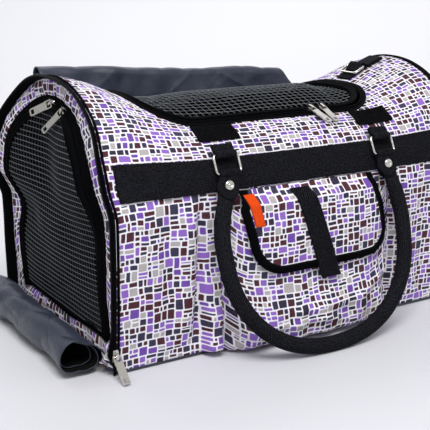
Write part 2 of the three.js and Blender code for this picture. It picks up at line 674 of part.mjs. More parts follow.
function makeZipPulls() {
  const zipRadius = RADIUS - BORDER - ZIP_WIDTH;
  const stand = 4.7;
  for (const [name, degrees, droop, dip] of [["rear", -2, 27, -27], ["front", -17, 60, -34]]) {
    const angle = radians(degrees);
    const bar = [-PLATE_OUT - stand, zipRadius * Math.sin(angle), SPRING + zipRadius * Math.cos(angle)];
    const hang = [0, Math.cos(radians(droop)), -Math.sin(radians(droop))];
    addZipPull(`left_door_${name}`, bar, [0, -Math.cos(angle), Math.sin(angle)], [-1, 0, 0], hang, dip);
  }
  const edge = 90 - THREE.MathUtils.radToDeg(Math.asin((WINDOW_HALF_Y - ZIP_WIDTH) / RADIUS));
  const slope = radians(20);
  const normal = [0, -Math.sin(slope), Math.cos(slope)];
  for (const [name, x, hang] of [["left", 44, [0.28, -1, -1]], ["right", 60, [0.02, -1, -1]]]) {
    const spot = shellPoint(x, edge, 0);
    const bar = spot.map((value, i) => value + normal[i] * (stand + 0.3));
    addZipPull(`top_door_${name}`, bar, [name === "left" ? -1 : 1, 0, 0], normal, hang, 5);
  }
  // The covers' sliders wait at the floor with their pulls resting on it.
  const low = 23;
  for (const [name, at] of [["left", 9 - LIP_OUT], ["right", CLOSED_LIP_OUT - 1]]) {
    const bar = [at, -(halfWidth(low) + 1.3 + stand), low];
    addZipPull(`${name}_cover`, bar, [0, 0, -1], [0, -1, 0], [0, 0, -1], -46);
  }
}

// ---------------------------------------------------------------- assembly

makeShell();
makeEnds();
makeWebbing();
makeTopDoor();
for (const [side, sign] of [["front", -1], ["rear", 1]]) {
  makeHandleRings(side, sign);
  makeHandle(side, sign);
}
makeRidge();
makePocket();
makeFlap();
makeRolledCovers();
makeZipPulls();

export default carrier;
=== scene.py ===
"""Soft pet carrier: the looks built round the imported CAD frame. Shapes are worked out in millimetres."""

import math

import bmesh
import bpy
import numpy as np
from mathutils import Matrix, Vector


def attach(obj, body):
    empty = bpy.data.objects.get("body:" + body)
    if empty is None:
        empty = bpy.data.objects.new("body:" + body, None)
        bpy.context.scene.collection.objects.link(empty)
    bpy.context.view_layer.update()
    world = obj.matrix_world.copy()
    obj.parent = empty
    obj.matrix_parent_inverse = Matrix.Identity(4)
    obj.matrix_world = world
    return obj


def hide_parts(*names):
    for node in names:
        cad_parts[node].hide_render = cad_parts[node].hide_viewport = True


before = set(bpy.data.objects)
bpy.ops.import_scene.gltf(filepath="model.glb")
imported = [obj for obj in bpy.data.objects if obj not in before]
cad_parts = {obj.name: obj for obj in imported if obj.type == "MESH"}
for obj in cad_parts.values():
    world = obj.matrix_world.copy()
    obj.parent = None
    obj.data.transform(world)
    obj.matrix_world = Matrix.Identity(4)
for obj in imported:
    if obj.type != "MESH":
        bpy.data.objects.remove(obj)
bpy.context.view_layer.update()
scene = bpy.context.scene
MM = 0.001

# ---------------------------------------------------------------- the carrier's dimensions

RADIUS = 140.0  # arched top
SPRING = 150.0  # where the side walls meet the arch
BASE_HALF = 133.0  # half width at the floor
HALF_LENGTH = 234.0
WALL = 3.0
PLATE = 237.3  # outer face of the end panels
SAG, SAG_RUN, SAG_POWER = 40.0, 130.0, 2.8
STRAP_LOW, STRAP_TOP, SEAM, STRAP_HALF = 178.0, 214.0, 196.0, 227.0
WINDOW_X, WINDOW_Y, WINDOW_CORNER = (-172.0, 153.0), 88.0, 60.0
LONG_STEPS, SHORT_STEPS, TURN_STEPS = 60, 12, 24  # stations along the window's sides and corners
RING_X = 106.0
UPPER_BAR = (-133.0, 214.9)
LOWER_BAR = (-141.5, 196.8)
HANDLE_TILT = 16.5
HANDLE_REACH, HANDLE_HALF = 197.5, 122.0
POCKET = (-119.0, 113.0, 4.0, 158.0)  # left, right, bottom, top
FLAP_TOP, FLAP_BOTTOM = 176.0, 83.0
HOOK_PATCHES = (("left", -124, -73), ("right", 92, 143))  # left and right edges
PATCH_TURN = (37.5, 49.8)  # how far round the arch from the spring line, in degrees
END_NET_PITCH, TOP_NET_PITCH, TOP_NET_RADIUS = 5.8, (8.0, 7.4), 0.4
COVER_THICK = 1.1
ROLL_CENTRE, ROLL_RADIUS, ROLL_TURNS, ROLL_SHRINK = (-270.5, 20.6), 19.2, 2.25, 2.6  # in (x, z)
ROLL_Y = (-122, 126)
FOLD_START, FOLD_LENGTH = -212, 366  # the roof cover's bundle along x
ARC = math.pi * RADIUS

# the camera's place, in degrees and metres
VIEW_AZIMUTH, VIEW_ELEVATION, VIEW_DISTANCE = -32.31, 14.35, 1.1674
VIEW_TARGET = Vector((-0.03423, 0.0, 0.1117))


def smooth(t):
    t = np.clip(t, 0, 1)
    return t * t * (3 - 2 * t)


def bump(d, width):
    return np.exp(-((np.asarray(d, float) / width) ** 2))


def noise(u, v, size, seed=0):
    """Smooth value noise from -1 to 1, the same on every run."""
    a, b = np.broadcast_arrays(np.asarray(u, float) / size, np.asarray(v, float) / size)
    i, j = np.floor(a).astype(np.int64), np.floor(b).astype(np.int64)

    def corner(di, dj):
        h = (i + di) * 374761393 + (j + dj) * 668265263 + seed * 974634777
        h = ((h ^ (h >> 13)) * 1274126177) & 0xFFFFFFFF
        return ((h ^ (h >> 16)) & 0xFFFF) / 32767.5 - 1

    f, g = smooth(a - i), smooth(b - j)
    low = corner(0, 0) * (1 - f) + corner(1, 0) * f
    high = corner(0, 1) * (1 - f) + corner(1, 1) * f
    return low * (1 - g) + high * g


def sag_at(x):
    return SAG * smooth((PLATE - np.abs(x)) / SAG_RUN)


def half_width(z):
    return BASE_HALF + (RADIUS - BASE_HALF) * np.sin(math.pi / 2 * np.clip(z / SPRING, 0, 1))


def leaned(spots):
    """The open end out of true: its upper rear corner is pushed out, its front shoulder in towards the middle."""
    x, y, z = spots[..., 0], spots[..., 1], spots[..., 2]
    near = smooth((-x - 150) / 84)
    rear = near * smooth((y - 5) / 95) * smooth((z - 134) / 42) * smooth((292 - z) / 90)
    front = near * smooth((-y - 50) / 60) * smooth((z - 162) / 32) * smooth((262 - z) / 50)
    return np.stack([x - 13 * rear - 3 * front, y + 9 * rear + 5 * front, z], -1)


def shell(x, s, out=0.0):
    """A place on the wrapped shell. s is the way round it from the front spring line, over the top."""
    x, s, out = np.broadcast_arrays(*(np.asarray(a, float) for a in (x, s, out)))
    turn = np.clip(s, 0, ARC) / RADIUS
    down = np.maximum(-s, 0) + np.maximum(s - ARC, 0)
    side = half_width(SPRING - down) + out
    y = np.where(down > 0, np.sign(s - 1) * side, -(RADIUS + out) * np.cos(turn))
    rise = (RADIUS + out) * np.sin(turn) - sag_at(x) * np.sin(turn) ** SAG_POWER
    z = np.where(down > 0, SPRING - down, SPRING + rise)
    return leaned(np.stack([x, y, z], -1))


def stood_off(surface, u, v, out):
    """Places out from a surface, and the directions that point away from it there."""
    spots = surface(u, v, out)
    return spots, unit(surface(u, v, out + 1) - spots)


def along_at(z):
    """How far round the shell the front wall reaches a height."""
    return RADIUS * math.asin((z - SPRING) / RADIUS) if z > SPRING else z - SPRING


def roof(x, y, out=0.0):
    return shell(x, RADIUS * np.arccos(np.clip(-np.asarray(y, float) / RADIUS, -1, 1)), out)


def front_wall(z):
    z = np.asarray(z, float)
    arch = np.sqrt(np.maximum(RADIUS**2 - np.maximum(z - SPRING, 0) ** 2, 1))
    return -np.where(z < SPRING, half_width(z), arch)


# ---------------------------------------------------------------- material nodes


class Graph:
    """Short calls for building one material's node tree."""

    def __init__(self, name):
        self.material = bpy.data.materials.new(name)
        self.material.use_nodes = True
        self.tree = self.material.node_tree
        self.shader = self.tree.nodes["Principled BSDF"]

    def node(self, kind, inputs=(), **settings):
        made = self.tree.nodes.new("ShaderNode" + kind)
        for key, value in settings.items():
            setattr(made, key, value)
        for key, value in dict(inputs).items():
            self.put(made.inputs[key], value)
        return made

    def put(self, socket, value):
        if isinstance(value, bpy.types.NodeSocket):
            self.tree.links.new(value, socket)
        else:
            socket.default_value = value

    def math(self, operation, *values):
        return self.node("Math", enumerate(values), operation=operation).outputs[0]

    def vector(self, operation, *values):
        made = self.node("VectorMath", enumerate(values), operation=operation)
        return made.outputs["Value" if operation in ("LENGTH", "DOT_PRODUCT") else "Vector"]

    def scaled(self, vector, factor):
        return self.node("VectorMath", {"Vector": vector, "Scale": factor}, operation="SCALE").outputs[0]

    def split(self, vector):
        return self.node("SeparateXYZ", {0: vector}).outputs[:2]

    def join(self, x, y, z=0.0):
        return self.node("CombineXYZ", {0: x, 1: y, 2: z}).outputs[0]

    def cloth(self):
        """The place on the cloth in millimetres, from the piece's own flat layout."""
        return self.scaled(self.node("UVMap", uv_map="cloth").outputs[0], 100.0)

    def place(self):
        """The place in the object in millimetres."""
        return self.scaled(self.node("TexCoord").outputs["Object"], 1000.0)

    def grain(self, vector, size, detail=2.0, rough=0.5):
        ins = {"Vector": vector, "Scale": 1 / size, "Detail": detail, "Roughness": rough}
        return self.node("TexNoise", ins).outputs

    def between(self, factor, low, high):
        ins = {"Value": factor, "To Min": low, "To Max": high}
        return self.node("MapRange", ins).outputs[0]

    def mix(self, factor, a, b, blend="MIX"):
        made = self.node("Mix", data_type="RGBA", blend_type=blend)
        for index, value in ((0, factor), (6, a), (7, b)):
            self.put(made.inputs[index], value)
        return made.outputs[2]

    def ribs(self, value, pitch):
        """A ridge every pitch millimetres, from 0 to 1."""
        wave = self.math("SINE", self.math("MULTIPLY", value, 2 * math.pi / pitch))
        return self.math("MULTIPLY_ADD", wave, 0.5, 0.5)

    def relief(self, height, depth, strength=1.0):
        ins = {"Height": height, "Distance": depth * MM, "Strength": strength}
        self.put(self.shader.inputs["Normal"], self.node("Bump", ins).outputs[0])

    def finish(self, color=None, rough=None, **constants):
        if color is not None:
            self.put(self.shader.inputs["Base Color"], color)
        if rough is not None:
            self.put(self.shader.inputs["Roughness"], rough)
        for key, value in constants.items():
            self.shader.inputs[key.replace("_", " ")].default_value = value
        return self.material


def rgb(text):
    """A colour as seen, written in hexadecimal, as the linear one that a shader takes."""
    parts = [int(text[i : i + 2], 16) / 255 for i in (0, 2, 4)]
    return [c / 12.92 if c < 0.04045 else ((c + 0.055) / 1.055) ** 2.4 for c in parts] + [1]


BLOCK = (42.0, 34.0)
PALETTE = ((0.0, "8f63c2"), (0.19, "6e44a6"), (0.31, "450e1a"), (0.59, "2a2743"), (0.77, "b3adab"), (0.89, "1f1630"))


def mosaic(g, place):
    """Irregular rounded tiles: blocks in brick order, each cut in two again and again at random places."""
    drift = g.vector("SUBTRACT", g.grain(place, 21.0, 1.0)["Color"], (0.5, 0.5, 0.5))
    x, y = g.split(g.vector("ADD", place, g.scaled(drift, 3.0)))
    row = g.math("FLOOR", g.math("DIVIDE", y, BLOCK[1]))
    shift = g.math("MULTIPLY", g.node("TexWhiteNoise", {"W": row}, noise_dimensions="1D").outputs[0], BLOCK[0])
    x = g.math("ADD", x, shift)
    column = g.math("FLOOR", g.math("DIVIDE", x, BLOCK[0]))
    corner = g.vector("MULTIPLY", g.join(column, row), (BLOCK[0], BLOCK[1], 0))
    spot = g.vector("SUBTRACT", g.join(x, y), corner)
    low, high, name = g.join(0.0, 0.0), g.join(*BLOCK), 0.0

    def chance(level):
        ins = {"Vector": g.join(column, row, name), "W": level}
        return g.node("TexWhiteNoise", ins, noise_dimensions="4D").outputs["Color"]

    for level in range(6):
        width, height = g.split(g.vector("SUBTRACT", high, low))
        place_chance, stop_chance = g.split(chance(level + 0.5))
        wide = g.math("GREATER_THAN", width, g.math("MULTIPLY", height, g.between(place_chance, 1.0, 1.9)))
        way = g.join(wide, g.math("SUBTRACT", 1.0, wide))
        share = g.between(place_chance, 0.35, 0.65)
        cut = g.vector("ADD", low, g.scaled(g.vector("SUBTRACT", high, low), share))
        side = g.math("GREATER_THAN", g.vector("DOT_PRODUCT", way, g.vector("SUBTRACT", spot, cut)), 0.0)
        longest = g.math("MAXIMUM", width, height)
        limit = g.between(stop_chance, 8.4, 14.6)
        go = g.math("GREATER_THAN", longest, limit)
        raised = g.scaled(g.vector("SUBTRACT", cut, low), g.math("MULTIPLY", side, go))
        lowered = g.scaled(g.vector("SUBTRACT", cut, high), g.math("MULTIPLY", g.math("SUBTRACT", 1.0, side), go))
        low = g.vector("ADD", low, g.vector("MULTIPLY", raised, way))
        high = g.vector("ADD", high, g.vector("MULTIPLY", lowered, way))
        name = g.math("MULTIPLY_ADD", name, 2.0, g.math("MULTIPLY", side, go))
    round_by = 0.9
    tone, gap_chance = g.split(chance(20.5))
    middle = g.scaled(g.vector("ADD", low, high), 0.5)
    half = g.scaled(g.vector("SUBTRACT", high, low), 0.5)
    inner = g.math("ADD", g.between(gap_chance, 0.6, 1.0), round_by)
    away = g.vector("ABSOLUTE", g.vector("SUBTRACT", spot, middle))
    past = g.vector("MAXIMUM", g.vector("SUBTRACT", away, g.vector("SUBTRACT", half, g.join(inner, inner))), (0, 0, 0))
    edge = g.math("SUBTRACT", g.vector("LENGTH", g.vector("MULTIPLY", past, (1, 1, 0))), round_by)
    edge = g.math("ADD", edge, g.between(g.grain(place, 1.3, 1.0)[0], -0.22, 0.22))
    inked = g.node("MapRange", {"Value": edge, "From Min": -0.12, "From Max": 0.12, "To Min": 1.0, "To Max": 0.0})
    ramp = g.node("ValToRGB", {"Fac": tone})
    ramp.color_ramp.interpolation = "CONSTANT"
    for i, (at, colour) in enumerate(PALETTE):
        stop = ramp.color_ramp.elements[i] if i < 2 else ramp.color_ramp.elements.new(at)
        stop.position, stop.color = at, rgb(colour)
    return ramp.outputs[0], inked.outputs[0]


def woven(g, place, pitch=0.62):
    """A plain weave's height."""
    x, y = g.split(place)
    return g.math("MULTIPLY", g.ribs(x, pitch), g.ribs(y, pitch))


def print_cloth(name):
    g = Graph(name)
    place = g.cloth()
    colour, inked = mosaic(g, place)
    cloudy = g.grain(place, 34.0, 3.0)[0]
    ground_colour = g.mix(g.between(cloudy, 0.0, 0.5), rgb("faf8fc"), rgb("d6d2e0"))
    ink = g.mix(g.between(g.grain(place, 2.2, 3.0)[0], 0.0, 0.08), colour, rgb("c9c2d6"))
    weave = woven(g, place)
    shade = g.between(weave, 0.93, 1.0)
    base = g.mix(inked, ground_colour, ink)
    base = g.mix(1.0, base, g.join(shade, shade, shade), "MULTIPLY")
    ripple = g.grain(place, 9.0, 3.0, 0.55)[0]
    fold = g.grain(g.vector("MULTIPLY", place, (1.0, 0.35, 1.0)), 13.0, 2.0)[0]
    g.relief(g.math("ADD", g.math("MULTIPLY", weave, 0.1), g.math("MULTIPLY_ADD", fold, 1.6, ripple)), 1.5, 0.7)
    return g.finish(base, g.between(ripple, 0.62, 0.8), Specular_IOR_Level=0.12)


def plain_cloth(name, dark, light, pitch=0.5, rough=(0.42, 0.6), ripple_size=14.0, depth=1.2, sheen=0.04, **more):
    g = Graph(name)
    place = g.cloth()
    weave = woven(g, place, pitch)
    ripple = g.grain(place, ripple_size, 4.0, 0.5)[0]
    colour = g.mix(g.between(ripple, 0.1, 0.9), rgb(dark), rgb(light))
    # Painted shade: the colour darkens towards near black in the valleys between the threads.
    colour = g.mix(g.between(weave, 0.25, 0.0), colour, rgb("08080a"))
    g.relief(g.math("ADD", g.math("MULTIPLY", weave, 0.1), ripple), depth, 0.6)
    return g.finish(colour, g.between(ripple, *rough), Sheen_Weight=sheen, Sheen_Roughness=0.4, **more)


def ribbed_cloth(name, dark, light, pitch, across=True, rough=(0.55, 0.75), depth=0.35, cross=0.9, twill=0.0):
    """Webbing and binding: fine ribs across the band, slanting as in a twill, with a small cross weave, and painted
    sheen on the rib tops.
    """
    g = Graph(name)
    place = g.cloth()
    x, y = g.split(place)
    first, second = (x, y) if across else (y, x)
    wave = g.math("MULTIPLY_ADD", second, twill, g.math("MULTIPLY_ADD", g.grain(place, 3.0, 1.0)[0], 0.35, first))
    rib = g.ribs(wave, pitch)
    fine = g.ribs(second, cross)
    height = g.math("MULTIPLY", g.math("MULTIPLY_ADD", fine, 0.6, 0.4), rib)
    # Painted light: the colour runs from the dark to the light one with the rib height, so the rib tops carry painted
    # sheen and the grooves painted shade; broad patches scale that sheen and vary the roughness, and fine specks add
    # painted glints.
    wear_and_sheen = g.grain(place, 15.0, 5.0, 0.7)[0]
    mottle_and_glint = g.grain(place, 2.4, 2.0, 0.7)[0]
    tone = g.math("MULTIPLY", g.math("MULTIPLY", height, g.between(wear_and_sheen, 0.4, 1.4)), g.between(mottle_and_glint, -0.9, 2.6))
    colour = g.mix(tone, rgb(dark), rgb(light))
    g.relief(height, depth, 0.9)
    return g.finish(colour, g.between(wear_and_sheen, *rough), Specular_IOR_Level=0.02)


def pile_cloth():
    g = Graph("hook_pile")
    place = g.place()
    fuzz = g.grain(place, 0.7, 4.0, 0.7)[0]
    tufts = g.grain(place, 3.5, 2.0)[0]
    colour = g.mix(g.math("MULTIPLY", fuzz, tufts), rgb("050506"), rgb("222224"))
    g.relief(g.math("ADD", fuzz, tufts), 1.1, 0.9)
    return g.finish(colour, g.between(fuzz, 0.85, 1.0), Specular_IOR_Level=0.0)


def metal(name, colour, rough, wear=0.16):
    g = Graph(name)
    place = g.place()
    streak = g.grain(g.vector("MULTIPLY", place, (1.0, 1.0, 7.0)), 1.6, 4.0, 0.6)[0]
    blotch = g.grain(place, 5.0, 3.0)[0]
    base = g.mix(g.between(blotch, 0.0, wear * 2.5), rgb(colour), rgb("8a8783"))
    g.relief(g.math("ADD", streak, g.math("MULTIPLY", blotch, 2.0)), 0.09, 0.5)
    return g.finish(base, g.between(streak, rough, rough + wear), Metallic=1.0)


def coated(name, dark, light, rough, size=4.0, depth=0.15, **more):
    """Smooth plastic or coated thread with slight mottling."""
    g = Graph(name)
    place = g.place()
    mottle_and_glint = g.grain(place, size, 4.0, 0.6)[0]
    g.relief(mottle_and_glint, depth, 0.7)
    colour = g.mix(mottle_and_glint, rgb(dark), rgb(light))
    return g.finish(colour, g.between(mottle_and_glint, rough - 0.08, rough + 0.12), **more)


PRINT = print_cloth("print_cloth")
LINING = plain_cloth("lining_nylon", "1b212f", "3d4458", rough=(0.3, 0.45), Specular_IOR_Level=0.5)
# Painted shade: a near-black, sheenless copy of the lining for the inward faces, standing in for the shade inside the
# carrier, behind the pocket and flap and in the hollows of the roll.
SHADED_INSIDE = plain_cloth("inside_lining_shaded", "030304", "08090a", rough=(0.6, 0.8), sheen=0.0, Specular_IOR_Level=0.2)
STRAP = ribbed_cloth("webbing_black", "010102", "33343a", 1.9, cross=1.7, twill=0.7)
HANDLE = ribbed_cloth("handle_webbing", "010102", "36373d", 2.2, cross=2.2, twill=0.8)
BINDING = ribbed_cloth("binding_black", "020203", "121315", 1.1, depth=0.25, cross=1.4)
TAPE = ribbed_cloth("zip_tape", "020203", "0f1012", 0.9, depth=0.2, cross=0.9, rough=(0.6, 0.8))
COIL = coated("zip_coil", "030304", "0c0c0e", 0.55, 1.2, Specular_IOR_Level=0.15)
THREAD = coated("sewing_thread", "060607", "19191c", 0.6, 0.8, Specular_IOR_Level=0.15)
# Painted light: the end net is one black coated thread; the level threads get a lighter copy, lit from above, and the
# upright threads a darker copy for painted shade.
LIT_LEVEL_NET = coated("net_thread_level_lit", "2b2e32", "5d6267", 0.42, 2.0)
SHADED_UPRIGHT_NET = coated("net_thread_upright_shaded", "16181b", "3f4348", 0.45, 2.0, Specular_IOR_Level=0.3)
# Painted highlight: the roof net's black coated thread is coloured light grey for the highlights along its threads; the
# across threads are a little darker.
HIGHLIT_TOP_NET = coated("highlit_top_net_thread", "34373b", "7a7e83", 0.5, 2.0)
HIGHLIT_TOP_NET_ACROSS = coated("highlit_top_net_thread_across", "303336", "74787d", 0.5, 2.0)
PILE = pile_cloth()
NICKEL = metal("nickel_wire", "e6e2dc", 0.14)
CAST = metal("nickel_cast", "e2ded6", 0.18, 0.14)
BOARD = coated("stiffener_board", "1c1d20", "2e3035", 0.7, 3.0, 0.3)
MAT = plain_cloth("mat_cloth", "14161a", "22252a", pitch=0.8, rough=(0.6, 0.8), sheen=0.0)
LABEL = ribbed_cloth("label_fabric", "d2420f", "f25a26", 0.5, rough=(0.45, 0.6), depth=0.1, cross=0.5)

# ---------------------------------------------------------------- building pieces


def piece(name, points, faces, looks, body, uv=None, which=None, hides=(), flip=True):
    mesh = bpy.data.meshes.new(name)
    mesh.from_pydata((np.asarray(points, float).reshape(-1, 3) * MM).tolist(), [], faces)
    for look in looks if isinstance(looks, (list, tuple)) else [looks]:
        mesh.materials.append(look)
    if which is not None:
        mesh.polygons.foreach_set("material_index", np.asarray(which, np.int32))
    mesh.polygons.foreach_set("use_smooth", np.ones(len(mesh.polygons), bool))
    if uv is not None:
        mesh.uv_layers.new(name="cloth").data.foreach_set("uv", (np.asarray(uv, float) / 100).ravel())
    if flip:
        work = bmesh.new()
        work.from_mesh(mesh)
        bmesh.ops.recalc_face_normals(work, faces=work.faces)
        work.to_mesh(mesh)
        work.free()
    mesh.update()
    made = bpy.data.objects.new(name, mesh)
    scene.collection.objects.link(made)
    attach(made, body)
    if hides:
        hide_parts(*hides)
    return made


def lengths(points):
    """Distances along a line of points, from 0."""
    return np.concatenate([[0], np.cumsum(np.linalg.norm(np.diff(points, axis=0), axis=1))])


def joined_up(points):
    """A ring of points with its first one again at the end."""
    return np.concatenate([points, points[:1]])


def flat_grid(along, around):
    """The flat places of a piece whose stations and section are measured as lengths."""
    return np.stack(np.meshgrid(along, around, indexing="ij"), -1)


def facing(direction, line):
    """One direction for every point of a line."""
    return np.tile(np.asarray(direction, float), (len(line), 1))


def loft(name, rings, looks, body, closed=False, uv=None, strips=None, hides=(), caps="fan", turn=False):
    """A closed body through rings of points. uv gives (n + closed, m + 1, 2) flat places; strips gives the look of
    each side of a ring."""
    rings = np.asarray(rings, float)
    n, m = rings.shape[:2]
    last = n if closed else n - 1
    i, j = np.meshgrid(np.arange(last), np.arange(m), indexing="ij")
    ahead, beside = (i + 1) % n, (j + 1) % m
    quads = np.stack([i * m + j, ahead * m + j, ahead * m + beside, i * m + beside], -1).reshape(-1, 4)
    if uv is None:
        centre = rings.mean(1)
        u = lengths(joined_up(centre) if closed else centre)
        widest = rings[n // 2]
        v = lengths(joined_up(widest))
        grids = np.meshgrid(u, v, indexing="ij")
        uv = np.stack(grids[::-1] if turn else grids, -1)
    flat = [uv[i + di, j + dj] for di, dj in ((0, 0), (1, 0), (1, 1), (0, 1))]
    flat = np.stack(flat, 2).reshape(-1, 2).tolist()
    faces = quads.tolist()
    which = np.tile(np.zeros(m, int) if strips is None else strips, last).tolist()
    if not closed:
        for ring in (0, n - 1):
            base, row = ring * m, uv[min(ring, uv.shape[0] - 1)]
            if caps == "slab":
                for k in range(m // 2 - 1):
                    spots = [k, k + 1, m - 2 - k, m - 1 - k]
                    faces.append([base + q for q in spots])
                    flat += [row[q].tolist() for q in spots]
                    which.append(0)
            else:
                faces.append([base + q for q in range(m)])
                flat += [row[q].tolist() for q in range(m)]
                which.append(0)
    return piece(name, rings, faces, looks, body, flat, which, hides)


def slab(name, outer, inner, flat, looks, body, closed=False, hides=()):
    """Cloth with two faces, from two grids of points; flat gives the outer grid's places on the cloth."""
    rings = np.concatenate([outer, inner[:, ::-1]], 1)
    uv = np.concatenate([flat, flat[:, ::-1], flat[:, :1]], 1)
    if closed:
        uv = np.concatenate([uv, uv[:1]], 0) if uv.shape[0] == rings.shape[0] else uv
    k = outer.shape[1]
    strips = np.array([0] * k + [1] * (k - 1) + [0])
    return loft(name, rings, looks, body, closed, uv, strips, hides, "slab")


def band_profile(low, high, base, top, soft=0.9, steps=7):
    """The section of a flat band with rounded edges, as (place across, height) pairs."""
    soft = min(soft, (top - base) / 2)
    across = np.linspace(low + soft, high - soft, steps)
    turn = np.linspace(0, math.pi, 5)[1:-1]
    mid, half = (base + top) / 2, (top - base) / 2
    right = [(high - soft + soft * math.sin(t), mid + half * math.cos(t)) for t in turn]
    left = [(low + soft - soft * math.sin(t), mid - half * math.cos(t)) for t in turn]
    return np.array([(a, top) for a in across] + right + [(a, base) for a in across[::-1]] + left)


def sweep(points, side, up, profile):
    """Rings of a section, given as (along side, along up) pairs, at each of the points."""
    a, h = profile[:, 0], profile[:, 1]
    return points[:, None] + side[:, None] * a[None, :, None] + up[:, None] * h[None, :, None]


def unit(v):
    return v / np.maximum(np.linalg.norm(v, axis=-1, keepdims=True), 1e-9)


def slopes(points, closed=False):
    if closed:
        return unit(np.roll(points, -1, 0) - np.roll(points, 1, 0))
    return unit(np.gradient(points, axis=0))


def round_section(radius, count, flatness=1.0):
    turn = np.linspace(0, 2 * math.pi, count, endpoint=False)
    return np.stack([radius * np.cos(turn), radius * flatness * np.sin(turn)], 1)


def stitches(name, lines, body, pitch=3.4, length=2.3, size=0.8):
    """Sewn stitches as small raised lozenges. Each line is (points, normals)."""
    points, faces = [], []
    for line, normal in lines:
        dist = lengths(line)
        at = np.arange(pitch / 2, dist[-1], pitch)
        pick = lambda a, values: np.stack([np.interp(a, dist, values[:, k]) for k in range(3)], 1)
        ahead = unit(pick(at + 0.6, line) - pick(at - 0.6, line))
        up = unit(pick(at, normal))
        side = unit(np.cross(ahead, up))
        centre = pick(at, line)
        for c, d, w, h in zip(centre, ahead, side, up):
            base = len(points)
            for t, share in ((-0.5, 0.3), (0.0, 0.5), (0.5, 0.3)):
                for a, b in ((-share, 0), (0, share), (share, 0), (0, -share)):
                    points.append(c + d * t * length + w * a * size + h * b * size)
            for r in (0, 4):
                for k in range(4):
                    q = (k + 1) % 4
                    faces.append([base + r + k, base + r + 4 + k, base + r + 4 + q, base + r + q])
            faces += [[base + 3, base + 2, base + 1, base], [base + 8, base + 9, base + 10, base + 11]]
    return piece(name, points, faces, THREAD, body)


def coil(name, line, normal, body, pitch=2.3, radius=1.25, squash=0.7, closed=False):
    """A zip's chain: a fine ridged tube along a line."""
    source, normals = (joined_up(line), joined_up(normal)) if closed else (line, normal)
    dist = lengths(source)
    at = np.linspace(0, dist[-1], int(dist[-1] / pitch * 4) + 1)
    at = at[:-1] if closed else at
    spots = np.stack([np.interp(at, dist, source[:, k]) for k in range(3)], 1)
    up = unit(np.stack([np.interp(at, dist, normals[:, k]) for k in range(3)], 1))
    side = unit(np.cross(slopes(spots, closed), up))
    swell = radius * (0.84 + 0.16 * np.cos(at * 2 * math.pi / pitch))
    section = round_section(1.0, 8, squash)
    around = side[:, None] * section[None, :, :1] + up[:, None] * section[None, :, 1:]
    rings = spots[:, None] + around * swell[:, None, None]
    return loft(name, rings, COIL, body, closed)

# ---------------------------------------------------------------- walls

S_SEAM = along_at(SEAM)
S_FLOOR = -SPRING + 3.3


def rumple(x, s, amount=1.0, seed=0):
    """Soft unevenness of the padded cloth, in millimetres."""
    broad = noise(x, s, 46, seed) * 0.9 + noise(x + 0.4 * s, s, 21, seed + 1) * 0.5
    return amount * (broad + noise(x - s, s, 9, seed + 2) * 0.16)


# Upright folds beside the pocket: place along the wall, depth, width, and how far it leans with height.
FOLDS = (
    (-141, 6.5, 4.2, 0.02), (-154, -3.5, 10, 0.04), (-176, 3.0, 10, 0.0),
    (121, 6.0, 8, 0.0), (146, -3.5, 13, 0.0), (180, 2.4, 12, 0),
)


def side_wall(name, rear, node):
    xs = np.linspace(-HALF_LENGTH, HALF_LENGTH, 230)
    ss = np.linspace(S_FLOOR, S_SEAM + 1, 84)
    x, s = np.meshgrid(xs, ss, indexing="ij")
    height = np.where(s < 0, SPRING + s, SPRING + RADIUS * np.sin(np.maximum(s, 0) / RADIUS))
    out = rumple(x, s, 0.8, 11 if rear else 3)
    edge = smooth((HALF_LENGTH - np.abs(x)) / 14) * smooth((height - 4) / 16)
    low = smooth((60 - height) / 50)
    out += 1.5 * low * np.sin(x / 11 + 1.3 * noise(x, s, 40, 5)) * smooth((230 - np.abs(x)) / 60)
    for at, deep, wide, lean in FOLDS:
        at_x = at + lean * (height - 90)
        reach = smooth((height - 6) / 40) * smooth((186 - height) / 40)
        out -= deep * (0.25 if rear else 1.0) * bump(x - at_x, wide) * reach
    pocket_zone = smooth((x - POCKET[0] + 4) / 6) * smooth((POCKET[1] + 4 - x) / 6)
    out = np.where(pocket_zone > 0, np.minimum(out, 0.5), out) * edge
    if not rear:
        beside = smooth((x + 139) / 9) * smooth((-112 - x) / 8)
        beside = beside * smooth((120 - height) / 100) * smooth((height - 2) / 6)
        out += 16 * beside * (1 + 0.12 * np.sin(height / 6))
    along = ARC - s if rear else s
    outer, inner = shell(x, along, out), shell(x, along, np.minimum(out, 0) - WALL)
    flat = np.stack([x + (300 if rear else 0), s], -1)
    wall = slab(name, outer, inner, flat, (PRINT, SHADED_INSIDE), "shell", hides=[node])
    return wall


def window_line(inset, rounder=0.0):
    """The roof window's outline in (x, y), moved inwards, with the same stations whatever the inset."""
    low, high = WINDOW_X[0] + WINDOW_CORNER + rounder, WINDOW_X[1] - WINDOW_CORNER - rounder
    cy = WINDOW_Y - WINDOW_CORNER - rounder
    r = WINDOW_CORNER + rounder - inset
    points = []
    corners = ((1, -1, -90, SHORT_STEPS), (1, 1, 0, LONG_STEPS), (-1, 1, 90, SHORT_STEPS), (-1, -1, 180, LONG_STEPS))
    for sx, sy, start, straight in corners:
        cx, other = (high, low) if sx > 0 else (low, high)
        for k in range(TURN_STEPS):
            a = math.radians(start + 90 * k / TURN_STEPS)
            points.append((cx + r * math.cos(a), sy * cy + r * math.sin(a)))
        a = math.radians(start + 90)
        x0, y0 = cx + r * math.cos(a), sy * cy + r * math.sin(a)
        x1 = x0 if straight == SHORT_STEPS else other
        y1 = -y0 if straight == SHORT_STEPS else y0
        for k in range(straight):
            points.append((x0 + (x1 - x0) * k / straight, y0 + (y1 - y0) * k / straight))
    return np.array(points)


